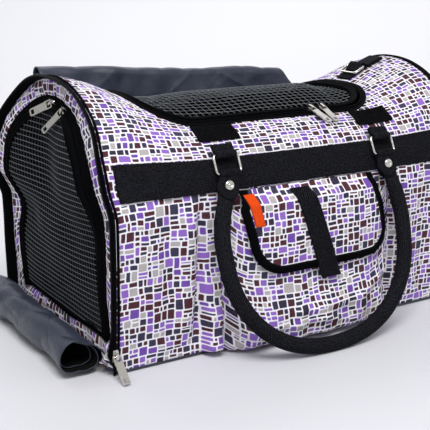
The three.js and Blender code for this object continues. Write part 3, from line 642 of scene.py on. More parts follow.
def top_wall():
    line = window_line(3.5)
    inner_s = RADIUS * np.arccos(-line[:, 1] / RADIUS)
    corners = [(HALF_LENGTH, S_SEAM), (HALF_LENGTH, ARC - S_SEAM), (-HALF_LENGTH, ARC - S_SEAM), (-HALF_LENGTH, S_SEAM)]
    outer = []
    for k in range(4):
        steps = TURN_STEPS + (SHORT_STEPS if k % 2 == 0 else LONG_STEPS)
        a, b = np.array(corners[k]), np.array(corners[(k + 1) % 4])
        outer += [a + (b - a) * i / steps for i in range(steps)]
    outer = np.roll(np.array(outer), TURN_STEPS // 2, axis=0)
    inner = np.stack([line[:, 0], inner_s], 1)
    t = np.linspace(0, 1, 44)[None, :, None]
    flat = inner[:, None] * (1 - t) + outer[:, None] * t
    x, s = flat[..., 0], flat[..., 1]
    t = t[..., 0]
    out = rumple(x, s, 0.9, 21)
    shoulder = smooth((np.abs(x) - 150) / 40) * smooth((232 - np.abs(x)) / 18)
    lean = np.sign(x) * (s - ARC / 2)
    out += shoulder * 0.9 * np.sin((np.abs(x) * 0.7 + np.abs(lean) * 0.5) / 7 + 2 * noise(x, s, 50, 9))
    out = out * smooth((1 - t) * 9) * smooth(t * 5)
    top, under = shell(x, s, out), shell(x, s, -WALL)
    return slab("top_cloth", top, under, flat, (PRINT, SHADED_INSIDE), "shell", True, ["top_panel"])


side_wall("front_cloth", False, "front_panel")
side_wall("rear_cloth", True, "rear_panel")
top_wall()

# ---------------------------------------------------------------- the two ends


def arch_line(out, bottom, side=46, over=110):
    """The end's outline in (y, z), moved outwards, from the front floor over the top to the rear floor."""
    z = np.linspace(bottom, SPRING, side, endpoint=False)
    up = np.stack([-(half_width(z) + out), z], 1)
    turn = np.linspace(0, math.pi, over + 1)
    top = np.stack([-(RADIUS + out) * np.cos(turn), SPRING + (RADIUS + out) * np.sin(turn)], 1)
    down = up[::-1] * (-1, 1)
    return np.concatenate([up, top, down])


def floor_line(line, count=70):
    """Points that close an arch along its bottom, from the rear back to the front."""
    t = np.linspace(0, 1, count + 2)[1:-1, None]
    return np.concatenate([line, line[-1] * (1 - t) + line[0] * t])


def door_shift(y, z, inset=36.0):
    """How far the open end's door edge strays across the end from its plan; it strays most at the net."""
    rear = -12 * bump(z - 128, 21) - 3.5 * smooth((75 - z) / 30) - 5 * smooth((45 - z) / 25)
    front = 6 * bump(z - 150, 50) * smooth((inset - 17) / 19) - 8 * smooth((80 - z) / 45)
    return rear * smooth((y - 40) / 40) + front * smooth((-y - 40) / 40) + 0.8 * np.sin(z / 23 + y / 31)


def door_bulge(y, z, inset=36.0):
    """How far the front of the open end's door is blown out of its plane."""
    share = 0.25 + 0.75 * smooth((inset - 17) / 19)
    return 13 * share * smooth((z - 130) / 60) * smooth((268 - z) / 40) * smooth((30 - y) / 90)


def end_spot(line, depth, side):
    """Points on an end from (y, z) ones; depth is how far they stand out from its face."""
    x = side * (PLATE + depth)
    spots = np.stack([np.broadcast_to(x, line.shape[:-1]), line[..., 0], line[..., 1]], -1)
    return leaned(spots) if side < 0 else spots


def pulled(line, strength=1.0, inset=18.0):
    moved = line.copy()
    moved[:, 0] += strength * door_shift(line[:, 0], line[:, 1], inset)
    return moved


def end_border(side, name, outside, hides):
    shares = np.linspace(0, 1, 15)
    grid = []
    for share in shares:
        line = floor_line(arch_line(-21.5 * share, 3.3 + 28 * share))
        grid.append(pulled(line, smooth(share * 1.15)) if outside else line)
    grid = np.stack(grid, 1)
    y, z = grid[..., 0], grid[..., 1]
    way = lengths(np.concatenate([grid[:, 7], grid[:1, 7]]))[: len(grid), None]
    mid = np.sin(np.pi * shares)[None, :]
    top = smooth((z - 205) / 50)
    pucker = np.sin(way / 3.1 + 1.7 * noise(way, shares * 9, 17, 4)) * top
    swell = 2.6 * mid**0.7 + mid * (1.5 * pucker + 1.6 * noise(way, shares * 12, 13, 8) * (0.5 + smooth((60 - z) / 40)))
    if outside:
        corner = smooth((-y - 106) / 18) * smooth((40 - z) / 18) * smooth(shares * 5)[None, :]
        swell = swell + smooth(shares * 1.1)[None, :] * door_bulge(y, z, 18.0)
        swell = swell + corner * (7.5 + 2.4 * np.sin((y + z) / 2.6) + 2.0 * noise(y, z, 6, 19))
    outer = end_spot(grid, swell if outside else 0.6 * mid + 0 * y, side)
    inner = end_spot(grid, swell - mid * 2.6 - WALL if outside else np.full_like(y, -WALL), side)
    flat = np.stack([way + 1.3 * pucker + 40, shares[None, :] * 21.5 + 11 + 0 * y], -1)
    wall = slab(name, outer, inner, flat, (PRINT, SHADED_INSIDE), "shell", True, hides)
    return wall


end_border(-1, "left_end_cloth", True, ["left_end_frame"])
end_border(1, "right_end_cloth", False, ["right_end_frame"])


def end_band(name, side, body, profile, look, bottom, hides=(), free=True):
    """A band round an end door. The profile gives (way inwards, height) from the band's outer edge."""
    lines = {}
    rings = []
    for way, height in profile:
        if way not in lines:
            line = arch_line(-way, bottom)
            lines[way] = pulled(line, 1.0, way) if free else line
        rise = height + (door_bulge(*lines[way].T, way) if free else 0)
        rings.append(end_spot(lines[way], rise, side))
    rings = np.stack(rings, 1)
    return loft(name, rings, look, body, hides=hides)


def ridge_profile(parts, base):
    """A band's section: the heights of its outside in order, then back along its base."""
    ways = np.array([p[0] for p in parts], float)
    return [tuple(p) for p in parts] + [(float(w), base) for w in ways[::-1]]


ZIP_SECTION = ridge_profile(
    [(19.2, 0.4), (19.6, 1.5), (21.5, 1.9), (23.4, 1.7), (24.2, 2.4), (25.4, 3.6), (26.6, 3.4), (27.0, 1.0)], -1.0
)
BINDING_SECTION = ridge_profile(
    [(27.4, 1.0), (27.8, 3.6), (29.2, 4.7), (30.8, 4.9), (31.8, 3.6), (32.6, 3.1), (34.0, 4.0), (35.6, 3.4),
     (36.2, 1.2)], -1.6
)
for side, label, body in ((-1, "left", "left_door"), (1, "right", "shell")):
    flat_end = side > 0
    squash_by = 0.35 if flat_end else 1.0
    tape = [(w, h * squash_by) for w, h in ZIP_SECTION]
    edge = [(w, h * squash_by) for w, h in BINDING_SECTION]
    end_band(f"{label}_end_zip", side, "shell", tape, TAPE, 31.0, free=not flat_end,
             hides=["left_door_zip"] if side < 0 else ["right_window_binding"])
    end_band(f"{label}_end_binding", side, body, edge, BINDING, 33.0, free=not flat_end,
             hides=["left_door_binding"] if side < 0 else [])
    bottom = arch_line(-35.0, 33.0)
    if not flat_end:
        bottom = pulled(bottom)
    y = np.linspace(bottom[-1, 0] + 1, bottom[0, 0] - 1, 90)
    z = 34.0 + 1.3 * np.sin(y / 17) + (0 if flat_end else 5.0 * smooth((y - 20) / 70))
    hem = np.stack([np.full_like(y, side * (PLATE + 0.6)), y, z], 1)
    section = band_profile(-2.6, 2.6, -1.0, 1.4 * squash_by, 0.7, 4)
    up = facing([side, 0, 0], y)
    across = unit(np.cross(slopes(hem), up))
    loft(f"{label}_end_hem", sweep(hem, across, up, section), BINDING, body)


def thread_tube(points, out, radius, sides=5):
    """A net thread's ring grid along a line of points."""
    ahead = slopes(points)
    across = unit(np.cross(ahead, out))
    up = np.cross(across, ahead)
    section = round_section(radius, sides, 0.8)
    return points[:, None] + across[:, None] * section[None, :, :1] + up[:, None] * section[None, :, 1:]


def net(name, threads, body, hides, looks=(LIT_LEVEL_NET, SHADED_UPRIGHT_NET), radius=0.58):
    """Threads, given as (points, outward directions, look index), made into one net."""
    points, faces, which = [], [], []
    base = 0
    for line, out, look in threads:
        rings = thread_tube(line, out, radius)
        n, m = rings.shape[:2]
        i, j = np.meshgrid(np.arange(n - 1), np.arange(m), indexing="ij")
        k = (j + 1) % m
        quads = np.stack([i * m + j, (i + 1) * m + j, (i + 1) * m + k, i * m + k], -1).reshape(-1, 4) + base
        faces += quads.tolist() + [list(range(base, base + m)), list(range(base + n * m - m, base + n * m))]
        which += [look] * (len(quads) + 2)
        points.append(rings.reshape(-1, 3))
        base += n * m
    return piece(name, np.concatenate(points), faces, looks, body, None, which, hides)


def end_net(side, name, body, node):
    free = side < 0

    def stand(y, z):
        if not free:
            return np.full(np.shape(y), 0.2)
        belly = smooth(1 - np.abs(y) / 112) * smooth((z - 30) / 60) * smooth((262 - z) / 70)
        return 0.4 + 3.2 * belly + 2.0 * noise(y, z, 44, 31) * belly + door_bulge(y, z)

    def drift(y, z):
        if not free:
            return y, z
        dz = 2.6 * noise(y, z, 70, 33) + 4.5 * smooth((60 - z) / 40) * smooth((y - 10) / 70)
        dz = dz - 4.5 * bump(z - 125, 60) * np.cos(y / 70)
        return y + door_shift(y, z) + 1.2 * noise(y, z, 40, 34), z + dz

    def line(y, z, look):
        y, z = np.broadcast_arrays(np.asarray(y, float), np.asarray(z, float))
        y2, z2 = drift(y, z)
        spots = end_spot(np.stack([y2, z2], 1), stand(y, z) + (0.35 if look == 0 else -0.1), side)
        return spots, facing([side, 0, 0], y), look

    threads = []
    inner = RADIUS - 33.5
    for z in np.arange(33.0, SPRING + inner, END_NET_PITCH):
        half = half_width(z) - 33.5 if z < SPRING else math.sqrt(inner**2 - (z - SPRING) ** 2)
        if half > 6:
            threads.append(line(np.linspace(-half, half, max(6, int(half / 3.2))), z, 0))
    for y in np.arange(-19, 20) * END_NET_PITCH:
        if abs(y) < inner - 2:
            top = SPRING + math.sqrt(inner**2 - y * y)
            low = 32.0
            if abs(y) > half_width(32) - 34:
                low = 60.0
            threads.append(line(y, np.linspace(low, top, int((top - low) / 5.5)), 1))
    return net(name, threads, body, [node])


end_net(-1, "left_door_net", "left_door", "left_door_mesh")
end_net(1, "right_end_net", "shell", "right_window_mesh")


def lip(side, name, node):
    """The zip band that stands out round an end; the open one flares a little towards its tip."""
    spots = [(0.3, 0.8), (3.0, 1.3), (6.5, 1.6), (9.6, 2.2), (11.3, 2.4), (11.7, 1.2), (11.2, -0.2), (9.5, -0.9),
             (6.5, -1.4), (3.0, -1.9), (0.3, -2.2)]
    lines = []
    for depth, out in spots:
        line = arch_line(out if side < 0 else out * 0.6 - 0.4, 0.6)
        y, z = line[:, 0], line[:, 1]
        front = smooth((-y - 5) / 60) * smooth((z - 18) / 40)
        flare = smooth(depth / 12) * (0.6 + 2.0 * front + 1.0 * noise(y, z, 60, 41)) * (side < 0) * smooth((z - 8) / 25)
        away = unit(line - (0, SPRING - 20))
        short = 1 - (0.36 + 0.14 * smooth((z - 190) / 50)) * front - 0.75 * smooth((30 - z) / 24) * smooth(-y / 60)
        reach = depth * short * (1 + 0.06 * noise(y, z, 37, 42)) if side < 0 else depth * 0.4
        lines.append(end_spot(line + away * flare[:, None], reach, side))
    rings = np.stack(lines, 1)
    band = loft(name, rings, TAPE, "shell", hides=[node])
    tip = rings[:, 5].copy()
    out = unit(np.cross(slopes(tip), facing([side, 0, 0], tip)))
    coil(f"{name}_chain", tip, out, "shell", radius=1.15 if side < 0 else 0.8, squash=0.9)
    base = rings[:, 1].copy()
    away = unit(base - (0, 0, 0))
    away[:, 0] = 0
    stitches(f"{name}_stitches", [(base, unit(away))], "shell", 3.2, 2.2, 0.6)
    return band


lip(-1, "left_cover_band", "left_cover_zip")
lip(1, "right_cover_band", "right_cover_zip")


def piping(name, side):
    """A corded edge where an end joins the walls."""
    line = arch_line(0.6, 3.0)
    spots = end_spot(line, -2.0, side)
    away = unit(spots * (0, 1, 1) - (0, 0, SPRING - 20))
    ahead = slopes(spots)
    away = unit(np.cross(ahead, np.cross(away, ahead)))
    across = unit(np.cross(ahead, away))
    return loft(name, sweep(spots, across, away, round_section(1.5, 8)), BINDING, "shell")


piping("left_piping", -1)
piping("right_piping", 1)


def closed_cover():
    """The zipped-up cover of the right end: printed outside, lined inside, with a tape round its edge."""
    shares = np.linspace(0, 1, 26)
    rim = arch_line(-3.2, 4.5, 30, 70)
    rim = floor_line(rim, 40)
    centre = np.array([0.0, 118.0])
    grid = centre + (rim[:, None] - centre) * (1 - 0.995 * shares[None, :, None])
    y, z = grid[..., 0], grid[..., 1]
    inside = smooth(shares * 6)[None, :]
    swell = inside * (2.2 * smooth(shares * 2)[None, :] + 0.9 * noise(y, z, 38, 51) + 0.5 * noise(y + z, z, 15, 52))
    outer = np.stack([241.3 + swell, y, z], -1)
    inner = np.stack([238.6 + 0 * y, y, z], -1)
    flat = np.stack([y + 700, z], -1)
    cover = slab("right_cover_cloth", outer, inner, flat, (PRINT, LINING), "right_cover", True,
                 ["right_cover_panel"])
    rings = []
    for way, height in ridge_profile([(3.0, 4.4), (3.3, 5.5), (5.5, 6.3), (7.6, 5.9), (12.0, 5.7), (12.6, 4.4)], 3.8):
        rings.append(end_spot(arch_line(-way, 4.6), height, 1))
    loft("right_cover_edge", np.stack(rings, 1), TAPE, "right_cover")
    chain = end_spot(arch_line(-2.6, 5.0), 5.6, 1)
    coil("right_cover_chain", chain, facing([1, 0, 0], chain), "right_cover", radius=1.2)


closed_cover()

# ---------------------------------------------------------------- the underside and the mat


def underside():
    xs, ys = np.linspace(-PLATE, PLATE, 90), np.linspace(-BASE_HALF, BASE_HALF, 50)
    x, y = np.meshgrid(xs, ys, indexing="ij")
    edge = smooth((PLATE - np.abs(x)) / 6) * smooth((BASE_HALF - np.abs(y)) / 6)
    low = np.stack([x, y, 1.0 * (1 - edge) + 0.12 * edge * (1 + noise(x, y, 30, 61))], -1)
    high = np.stack([x, y, 3.0 + 0 * x], -1)
    slab("base_cloth", low, high, np.stack([x, y], -1), (LINING, SHADED_INSIDE), "shell", hides=["base_panel"])


def mat():
    """A quilted pad: crowned between its sewn channels and pulled in round its edge."""
    xs, ys = np.linspace(-228, 228, 150), np.linspace(-127, 127, 90)
    x, y = np.meshgrid(xs, ys, indexing="ij")
    edge = np.minimum(smooth((228 - np.abs(x)) / 9), smooth((127 - np.abs(y)) / 9))
    channel = np.minimum(np.abs((x + y) % 56 - 28), np.abs((x - y) % 56 - 28))
    plump = 0.45 + 0.55 * np.sqrt(smooth(channel / 16))
    top = 9.0 + edge * (8.6 * plump + 0.5 * noise(x, y, 22, 71))
    pull = 1 - 0.012 * np.sin(np.pi * np.abs(x) / 228) * np.abs(y) / 127
    upper = np.stack([x, y * pull, top], -1)
    under = np.stack([x, y * pull, 8.6 - 0.8 * edge], -1)
    pad = slab("floor_mat_quilted", upper, under, np.stack([x, y], -1), (MAT, MAT), "shell",
               hides=["floor_mat"])
    return pad


underside()
mat()

# ---------------------------------------------------------------- straps and patches

S_LOW, S_TOP = along_at(STRAP_LOW), along_at(STRAP_TOP)


def wrapped_band(name, x0, x1, s0, s1, base, top, rear, look, hides, soft=0.9, wave=0.25, step=3.0):
    """A flat band sewn round the shell between two stations."""
    xs = np.linspace(x0, x1, int((x1 - x0) / step) + 1)
    section = band_profile(s0, s1, base, top, soft, 15)
    x = xs[:, None]
    s = section[None, :, 0] + 0.5 * noise(xs, 0, 70, 81)[:, None]
    out = section[None, :, 1] + wave * noise(x, s, 28, 82) * (section[None, :, 1] > (base + top) / 2)
    rings = shell(x, ARC - s if rear else s, out)
    flat = flat_grid(xs, lengths(joined_up(section)))
    return loft(name, rings, look, "shell", uv=flat, hides=hides)


def sewn_on_shell(name, x0, x1, s_lines, out, rear, ends=()):
    """Stitch lines along a band, at the given stations, and across it at the given places."""
    lines = []
    xs = np.arange(x0, x1, 2.5)
    for s in s_lines:
        lines.append(stood_off(shell, xs, ARC - s if rear else s, out))
    for x in ends:
        s = np.linspace(min(s_lines), max(s_lines), 20)
        lines.append(stood_off(shell, x, ARC - s if rear else s, out))
    return stitches(name, lines, "shell")


for label, rear in (("front", False), ("rear", True)):
    wrapped_band(f"{label}_strap_webbing", -STRAP_HALF, STRAP_HALF, S_LOW, S_TOP, 0.3, 2.6, rear, STRAP,
                 [f"{label}_strap"])
    sewn_on_shell(f"{label}_strap_stitches", -STRAP_HALF + 3, STRAP_HALF - 3, (S_LOW + 2.6, S_TOP - 2.6), 2.6, rear,
                  (-STRAP_HALF + 3, STRAP_HALF - 3))
for label, x0, x1 in HOOK_PATCHES:
    s0, s1 = (math.radians(turned) * RADIUS for turned in PATCH_TURN)
    wrapped_band(f"hook_patch_{label}_pile", x0, x1, s0, s1, 0.3, 2.2, False, PILE,
                 [f"hook_patch_{label}"], 0.8, 0.35, 1.5)
    sewn_on_shell(f"hook_patch_{label}_stitches", x0 + 2, x1 - 2, (s0 + 2, s1 - 2), 2.1, False, (x0 + 2, x1 - 2))

# ---------------------------------------------------------------- the roof window


def crown(x, y):
    """How far the roof net stands above the sagging shell."""
    from_end = np.minimum(x - WINDOW_X[0], WINDOW_X[1] - x)
    across = smooth((from_end - 12) / 45) * smooth((WINDOW_Y - 12 - np.abs(y)) / 34)
    swell = 11.5 * bump(y - 6, 50) + 2.0 * noise(x, y, 60, 91)
    return across * (swell - 3.0 * bump(x - 118 - 0.2 * y, 9) + 2.5 * bump(x - 136, 8))


def window_ring(name, parts, base, rounder, body, look, hides):
    rings = []
    for inset, height in ridge_profile(parts, base):
        line = window_line(inset, rounder)
        rings.append(roof(line[:, 0], line[:, 1], height))
    return loft(name, np.stack(rings, 1), look, body, True, hides=hides)


WINDOW_ZIP = [(-1.2, 0.3), (-0.8, 1.5), (0.6, 1.9), (2.6, 1.6), (3.6, 2.2), (4.9, 3.6), (6.3, 3.3), (6.9, 0.9)]
WINDOW_BINDING = [
    (7.3, 1.0), (7.6, 3.8), (9.0, 5.2), (10.6, 5.4), (11.8, 4.0), (12.8, 3.6), (14.0, 4.6), (15.2, 3.8), (15.8, 1.0)
]
window_ring("top_window_zip", WINDOW_ZIP, -1.0, 0.0, "shell", TAPE, ["top_door_zip"])
window_ring("top_window_binding", WINDOW_BINDING, -1.4, 6.0, "top_door", BINDING, ["top_door_binding"])
for name, inset, rounder, height, body in (("top_window_zip_stitches", -0.6, 0, 1.7, "shell"),
                                           ("top_window_binding_stitches", 12.3, 6, 3.8, "top_door")):
    line = window_line(inset, rounder)
    stitches(name, [stood_off(roof, line[:, 0], line[:, 1], height)], body, 3.4, 2.4, 0.7)


def top_net():
    def line(x, y, look):
        x, y = np.broadcast_arrays(np.asarray(x, float), np.asarray(y, float))
        x2 = x + 1.1 * noise(x, y, 60, 92)
        y2 = y + 1.1 * noise(x, y, 60, 93)
        lift = crown(x, y) - 0.6 + (0.4 if look == 0 else 0.0)
        return *stood_off(roof, x2, y2, lift), look

    threads = []
    middle, half_y, turn = sum(WINDOW_X) / 2, WINDOW_Y - 13, 52.0
    half_x = (WINDOW_X[1] - WINDOW_X[0]) / 2 - 13
    for y in np.arange(-10, 11) * TOP_NET_PITCH[1]:
        if abs(y) < half_y - 1:
            past = max(0.0, abs(y) - (half_y - turn))
            reach = half_x - turn + math.sqrt(turn**2 - past**2)
            threads.append(line(middle + np.linspace(-reach, reach, int(reach / 2.6)), y, 0))
    for x in middle + np.arange(-20, 21) * TOP_NET_PITCH[0]:
        if abs(x - middle) < half_x - 1:
            past = max(0.0, abs(x - middle) - (half_x - turn))
            reach = half_y - turn + math.sqrt(turn**2 - past**2)
            threads.append(line(x, np.linspace(-reach, reach, max(8, int(reach / 2.4))), 1))
    return net("top_door_net", threads, "top_door", ["top_door_mesh"], (HIGHLIT_TOP_NET, HIGHLIT_TOP_NET_ACROSS), TOP_NET_RADIUS)


top_net()

# ---------------------------------------------------------------- rings, loops and handles


def belt(name, path, side, widths, thick, look, body, hides=()):
    """A webbing strip along a path of points; side is the direction across it."""
    ahead = slopes(path)
    across = facing(side, path)
    up = unit(np.cross(across, ahead))
    section = band_profile(-12.5, 12.5, -thick / 2, thick / 2, thick * 0.45, 9)
    a = section[None, :, 0] * (np.asarray(widths)[:, None] / 12.5)
    rings = path[:, None] + across[:, None] * a[..., None] + up[:, None] * section[None, :, 1, None]
    flat = flat_grid(lengths(path), lengths(joined_up(section)))
    return loft(name, rings, look, body, uv=flat, hides=hides)


def eye_path(bar, tail, reach, radius=3.3, layer=1.2, steps=20):
    """The line of webbing wrapped round a bar, as (y, z): up the back layer, over the bar, down the front."""
    tail = np.asarray(tail, float)
    across = np.array([-tail[1], tail[0]])
    start = math.asin(layer / radius)
    turn = np.linspace(start - math.pi, math.pi - start, steps)[:, None]
    loop = np.asarray(bar) - radius * np.cos(turn) * tail + radius * np.sin(turn) * across
    legs = np.linspace(reach, radius * math.cos(start) + 1.0, 14)[:, None]
    back = np.asarray(bar) + legs * tail - layer * across
    front = np.asarray(bar) + legs[::-1] * tail + layer * across
    reach_along = np.concatenate([legs[:, 0], np.zeros(steps), legs[::-1, 0]])
    return np.concatenate([back, loop, front]), reach_along


def rounded_wire(half, drop, corner=4.2, count=14):
    """A rounded rectangle, closed, as local (x, y); its upper bar lies on the x axis."""
    points = []
    for cx, cy, start in ((half, 0, 90), (half, -drop, 0), (-half, -drop, -90), (-half, 0, -180)):
        sx, sy = (1 if cx > 0 else -1), (1 if cy == 0 else -1)
        for k in range(count):
            a = math.radians(start - 90 * k / (count - 1))
            points.append((cx - sx * corner + corner * math.cos(a), cy - sy * corner + corner * math.sin(a)))
    points = np.array(points)
    closed = joined_up(points)
    way = lengths(closed)
    at = np.linspace(0, way[-1], 97)[:-1]
    return np.stack([np.interp(at, way, closed[:, k]) for k in range(2)], 1)


def wire_ring(name, origin, x_way, y_way, drop, body, node):
    shape = rounded_wire(15.0, drop)
    x_way, y_way = np.asarray(x_way, float), np.asarray(y_way, float)
    spots = np.asarray(origin) + shape[:, :1] * x_way + shape[:, 1:] * y_way
    up = facing(np.cross(x_way, y_way), spots)
    across = unit(np.cross(slopes(spots, True), up))
    return loft(name, sweep(spots, across, up, round_section(1.5, 12)), NICKEL, body, True, hides=[node])


def catmull(points, per=10):
    """A smooth line through points."""
    p = np.concatenate([2 * points[:1] - points[1:2], points, 2 * points[-1:] - points[-2:-1]])
    t = np.linspace(0, 1, per, endpoint=False)[:, None]
    parts = []
    for a, b, c, d in zip(p, p[1:], p[2:], p[3:]):
        parts.append(0.5 * (2 * b + (c - a) * t + (2 * a - 5 * b + 4 * c - d) * t**2 + (3 * b - a - 3 * c + d) * t**3))
    return np.concatenate([*parts, points[-1:]])


# A rivet's cap from its middle out to its rim and back under it, as (radius, height).
RIVET_CAP = (
    (0.0, 5.3), (0.9, 5.25), (1.5, 4.75), (2.0, 4.6), (2.5, 4.95), (3.2, 5.5), (4.1, 5.45), (4.9, 4.9), (5.4, 4.0),
    (5.6, 3.0), (5.5, 2.55), (2.0, 2.5),
)


def rivet(name, spot, axis, body, node):
    """A domed rivet with a rolled rim: a cap on each side of the webbing and the shank between them."""
    profile = list(RIVET_CAP) + [(r, -h) for r, h in RIVET_CAP[::-1]]
    axis = unit(np.asarray(axis, float))
    side = np.array([1.0, 0, 0])
    other = np.cross(axis, side)
    turn = np.linspace(0, 2 * math.pi, 28, endpoint=False)
    ring = np.cos(turn)[:, None] * side + np.sin(turn)[:, None] * other
    rings = [np.asarray(spot) + ring * max(r, 0.02) + axis * h for r, h in profile]
    return loft(name, np.stack(rings), CAST, body, hides=[node])


def handle(label, sign):
    tilt = math.radians(HANDLE_TILT)
    down = np.array([sign * math.sin(tilt), -math.cos(tilt)])
    bar = np.array([-sign * LOWER_BAR[0], LOWER_BAR[1]])
    half = [(RING_X + 2.5, 16.0), (RING_X + 4.5, 26.0), (RING_X + 7.5, 35.0), (RING_X + 12, 47.0), (121.4, 64.0)]
    for degrees in range(0, 90, 15):
        a = math.radians(degrees)
        half.append((HANDLE_HALF * math.cos(a) ** 0.9, 80 + (HANDLE_REACH - 80) * math.sin(a) ** 0.9))
    route = np.array([(-x, r) for x, r in half] + [(0, HANDLE_REACH)] + half[::-1], float)
    line = catmull(route, 9)
    line[:, 0] -= 5 - 5 * (line[:, 0] > 0) * (1 - smooth((line[:, 1] - 14) / 50))
    spots = np.stack([line[:, 0], bar[0] + down[0] * line[:, 1], bar[1] + down[1] * line[:, 1]], 1)
    normal = facing([0, -sign * down[1], sign * down[0]], spots)
    across = unit(np.cross(slopes(spots), normal))
    way = lengths(spots)
    from_end = np.minimum(way, way[-1] - way)
    full = smooth((from_end - 2) / 34)
    section = round_section(1.0, 26)
    wide = (9.6 - 1.0 * full)[:, None]
    thick = (2.6 + 5.9 * full)[:, None]
    wobble = 1 + 0.02 * noise(way[:, None], np.arange(26)[None, :] * 7, 19, 101)
    seam = 1 - 0.09 * bump(np.arange(26) - 19, 1.1)[None, :] * full[:, None]
    a, h = section[None, :, 0] * wide * wobble * seam, section[None, :, 1] * thick * wobble * seam
    rings = spots[:, None] + across[:, None] * a[..., None] + normal[:, None] * h[..., None]
    around = np.arange(27) * (2 * math.pi * 8.5 / 26)
    flat = flat_grid(way, around)
    body = f"{label}_handle"
    loft(f"{label}_handle_grip", rings, HANDLE, body, uv=flat, hides=[f"{label}_handle"])
    seam_line = spots + (across * a[:, 19, None] + normal * h[:, 19, None]) * 1.01
    keep = from_end > 30
    sewn = [(seam_line[keep], unit(seam_line - spots)[keep])]
    stitches(f"{label}_handle_seam", sewn, body, 4.0, 2.6, 0.9)
    for end, x in (("left", -RING_X), ("right", RING_X)):
        path, reach = eye_path(bar, down, 27.5)
        width = 12.5 * np.sqrt(np.clip(1 - (np.maximum(reach - 15.0, 0) / 12.9) ** 2, 0.02, 1))
        slew = 5.0 if end == "left" else 0.0
        points = np.stack([x - slew * smooth(reach / 16), path[:, 0], path[:, 1]], 1)
        x = x - slew * 0.87
        bend = 3.2 * smooth((reach - 14) / 14)
        layer = np.sign((path - bar) @ np.array([-down[1], down[0]]))
        points[:, 1:] += (bend * layer)[:, None] * np.array([-down[1], down[0]])
        belt(f"{label}_handle_tab_{end}", points, (1, 0, 0), width, 2.2, STRAP, body)
        spot = np.array([x, *(bar + down * 12.5)])
        out = np.array([0.0, -sign * down[1], sign * down[0]])
        rivet(f"{label}_rivet_{end}", spot, out, body, f"{label}_handle_rivet_{end}")
        rim = []
        for t in np.linspace(0, 2 * math.pi, 50):
            dx, dr = 9.6 * math.cos(t), 13.0 + 9.6 * math.sin(t) * (1.05 if math.sin(t) > 0 else 0.75)
            rise = 2.45 + 3.2 * float(smooth((dr - 14) / 14))
            rim.append(np.array([x + dx, *(bar + down * dr)]) + out * rise)
        rim = np.array(rim)
        sewn = [(rim, facing(out, rim))]
        stitches(f"{label}_handle_tab_stitches_{end}", sewn, body, 3.2, 2.2, 0.8)


def handle_rings(label, sign):
    span = np.array([-sign * (UPPER_BAR[0] - LOWER_BAR[0]), UPPER_BAR[1] - LOWER_BAR[1]])
    up = span / np.linalg.norm(span)
    bar = np.array([-sign * UPPER_BAR[0], UPPER_BAR[1]])
    lean = math.radians(44)
    tail = np.array([-sign * math.sin(lean), math.cos(lean)])
    for end, x in (("left", -RING_X), ("right", RING_X)):
        wire_ring(f"{label}_ring_{end}_wire", (x, *bar), (1, 0, 0), (0, *up), 20.0, f"{label}_ring_{end}",
                  f"{label}_handle_ring_{end}")
        path, _ = eye_path(bar, tail, 12.0)
        points = np.stack([np.full(len(path), x), path[:, 0], path[:, 1]], 1)
        belt(f"{label}_loop_{end}", points, (1, 0, 0), np.full(len(path), 12.5), 2.2, STRAP, "shell",
             [f"{label}_ring_loop_{end}"])


for label, sign in (("front", -1), ("rear", 1)):
    handle_rings(label, sign)
    handle(label, sign)


def ridge():
    """The webbing tab on the ridge of the right shoulder, with the ring that it holds."""
    bar_x = 181.0
    surface = lambda x: shell(x, ARC / 2)[..., 2]
    bar_z = float(surface(bar_x)) + 6.7
    xs = np.linspace(159, 213, 46)
    low = np.stack([xs, 0 * xs, surface(xs) + 1.9], 1)
    belt("ridge_strip", low, (0, 1, 0), np.full(len(xs), 12.5), 2.2, STRAP, "shell",
         ["right_ridge_tab"])
    xs = np.linspace(173, 213, 50)
    hump = 3.9 + 6.3 * bump(xs - bar_x, 5.0)
    high = np.stack([xs, 0 * xs, surface(xs) + hump], 1)
    belt("ridge_loop", high, (0, 1, 0), np.full(len(xs), 12.5), 2.0, STRAP, "shell")
    slope = (float(surface(bar_x)) - float(surface(bar_x - 17))) / 17 + 0.06
    up = unit(np.array([1, 0.0, slope]))
    wire_ring("ridge_wire", (bar_x, 0, bar_z), (0, 1, 0), up, 17.0, "right_ridge_ring", "right_ridge_ring")


ridge()

# ---------------------------------------------------------------- the pocket


def pocket_depth(x, z):
    left, right, low, high = POCKET
    away = np.minimum(1, np.abs(x - (left + right) / 2) / ((right - left) / 2))
    along = 0.45 + 0.55 * np.sin(math.pi * np.minimum(1, 0.12 + 0.78 * (z - low) / (high - low)))
    return 15 * (1 - away**4) * along + 20 * smooth((85 - z) / 70) * (1 - away**8)


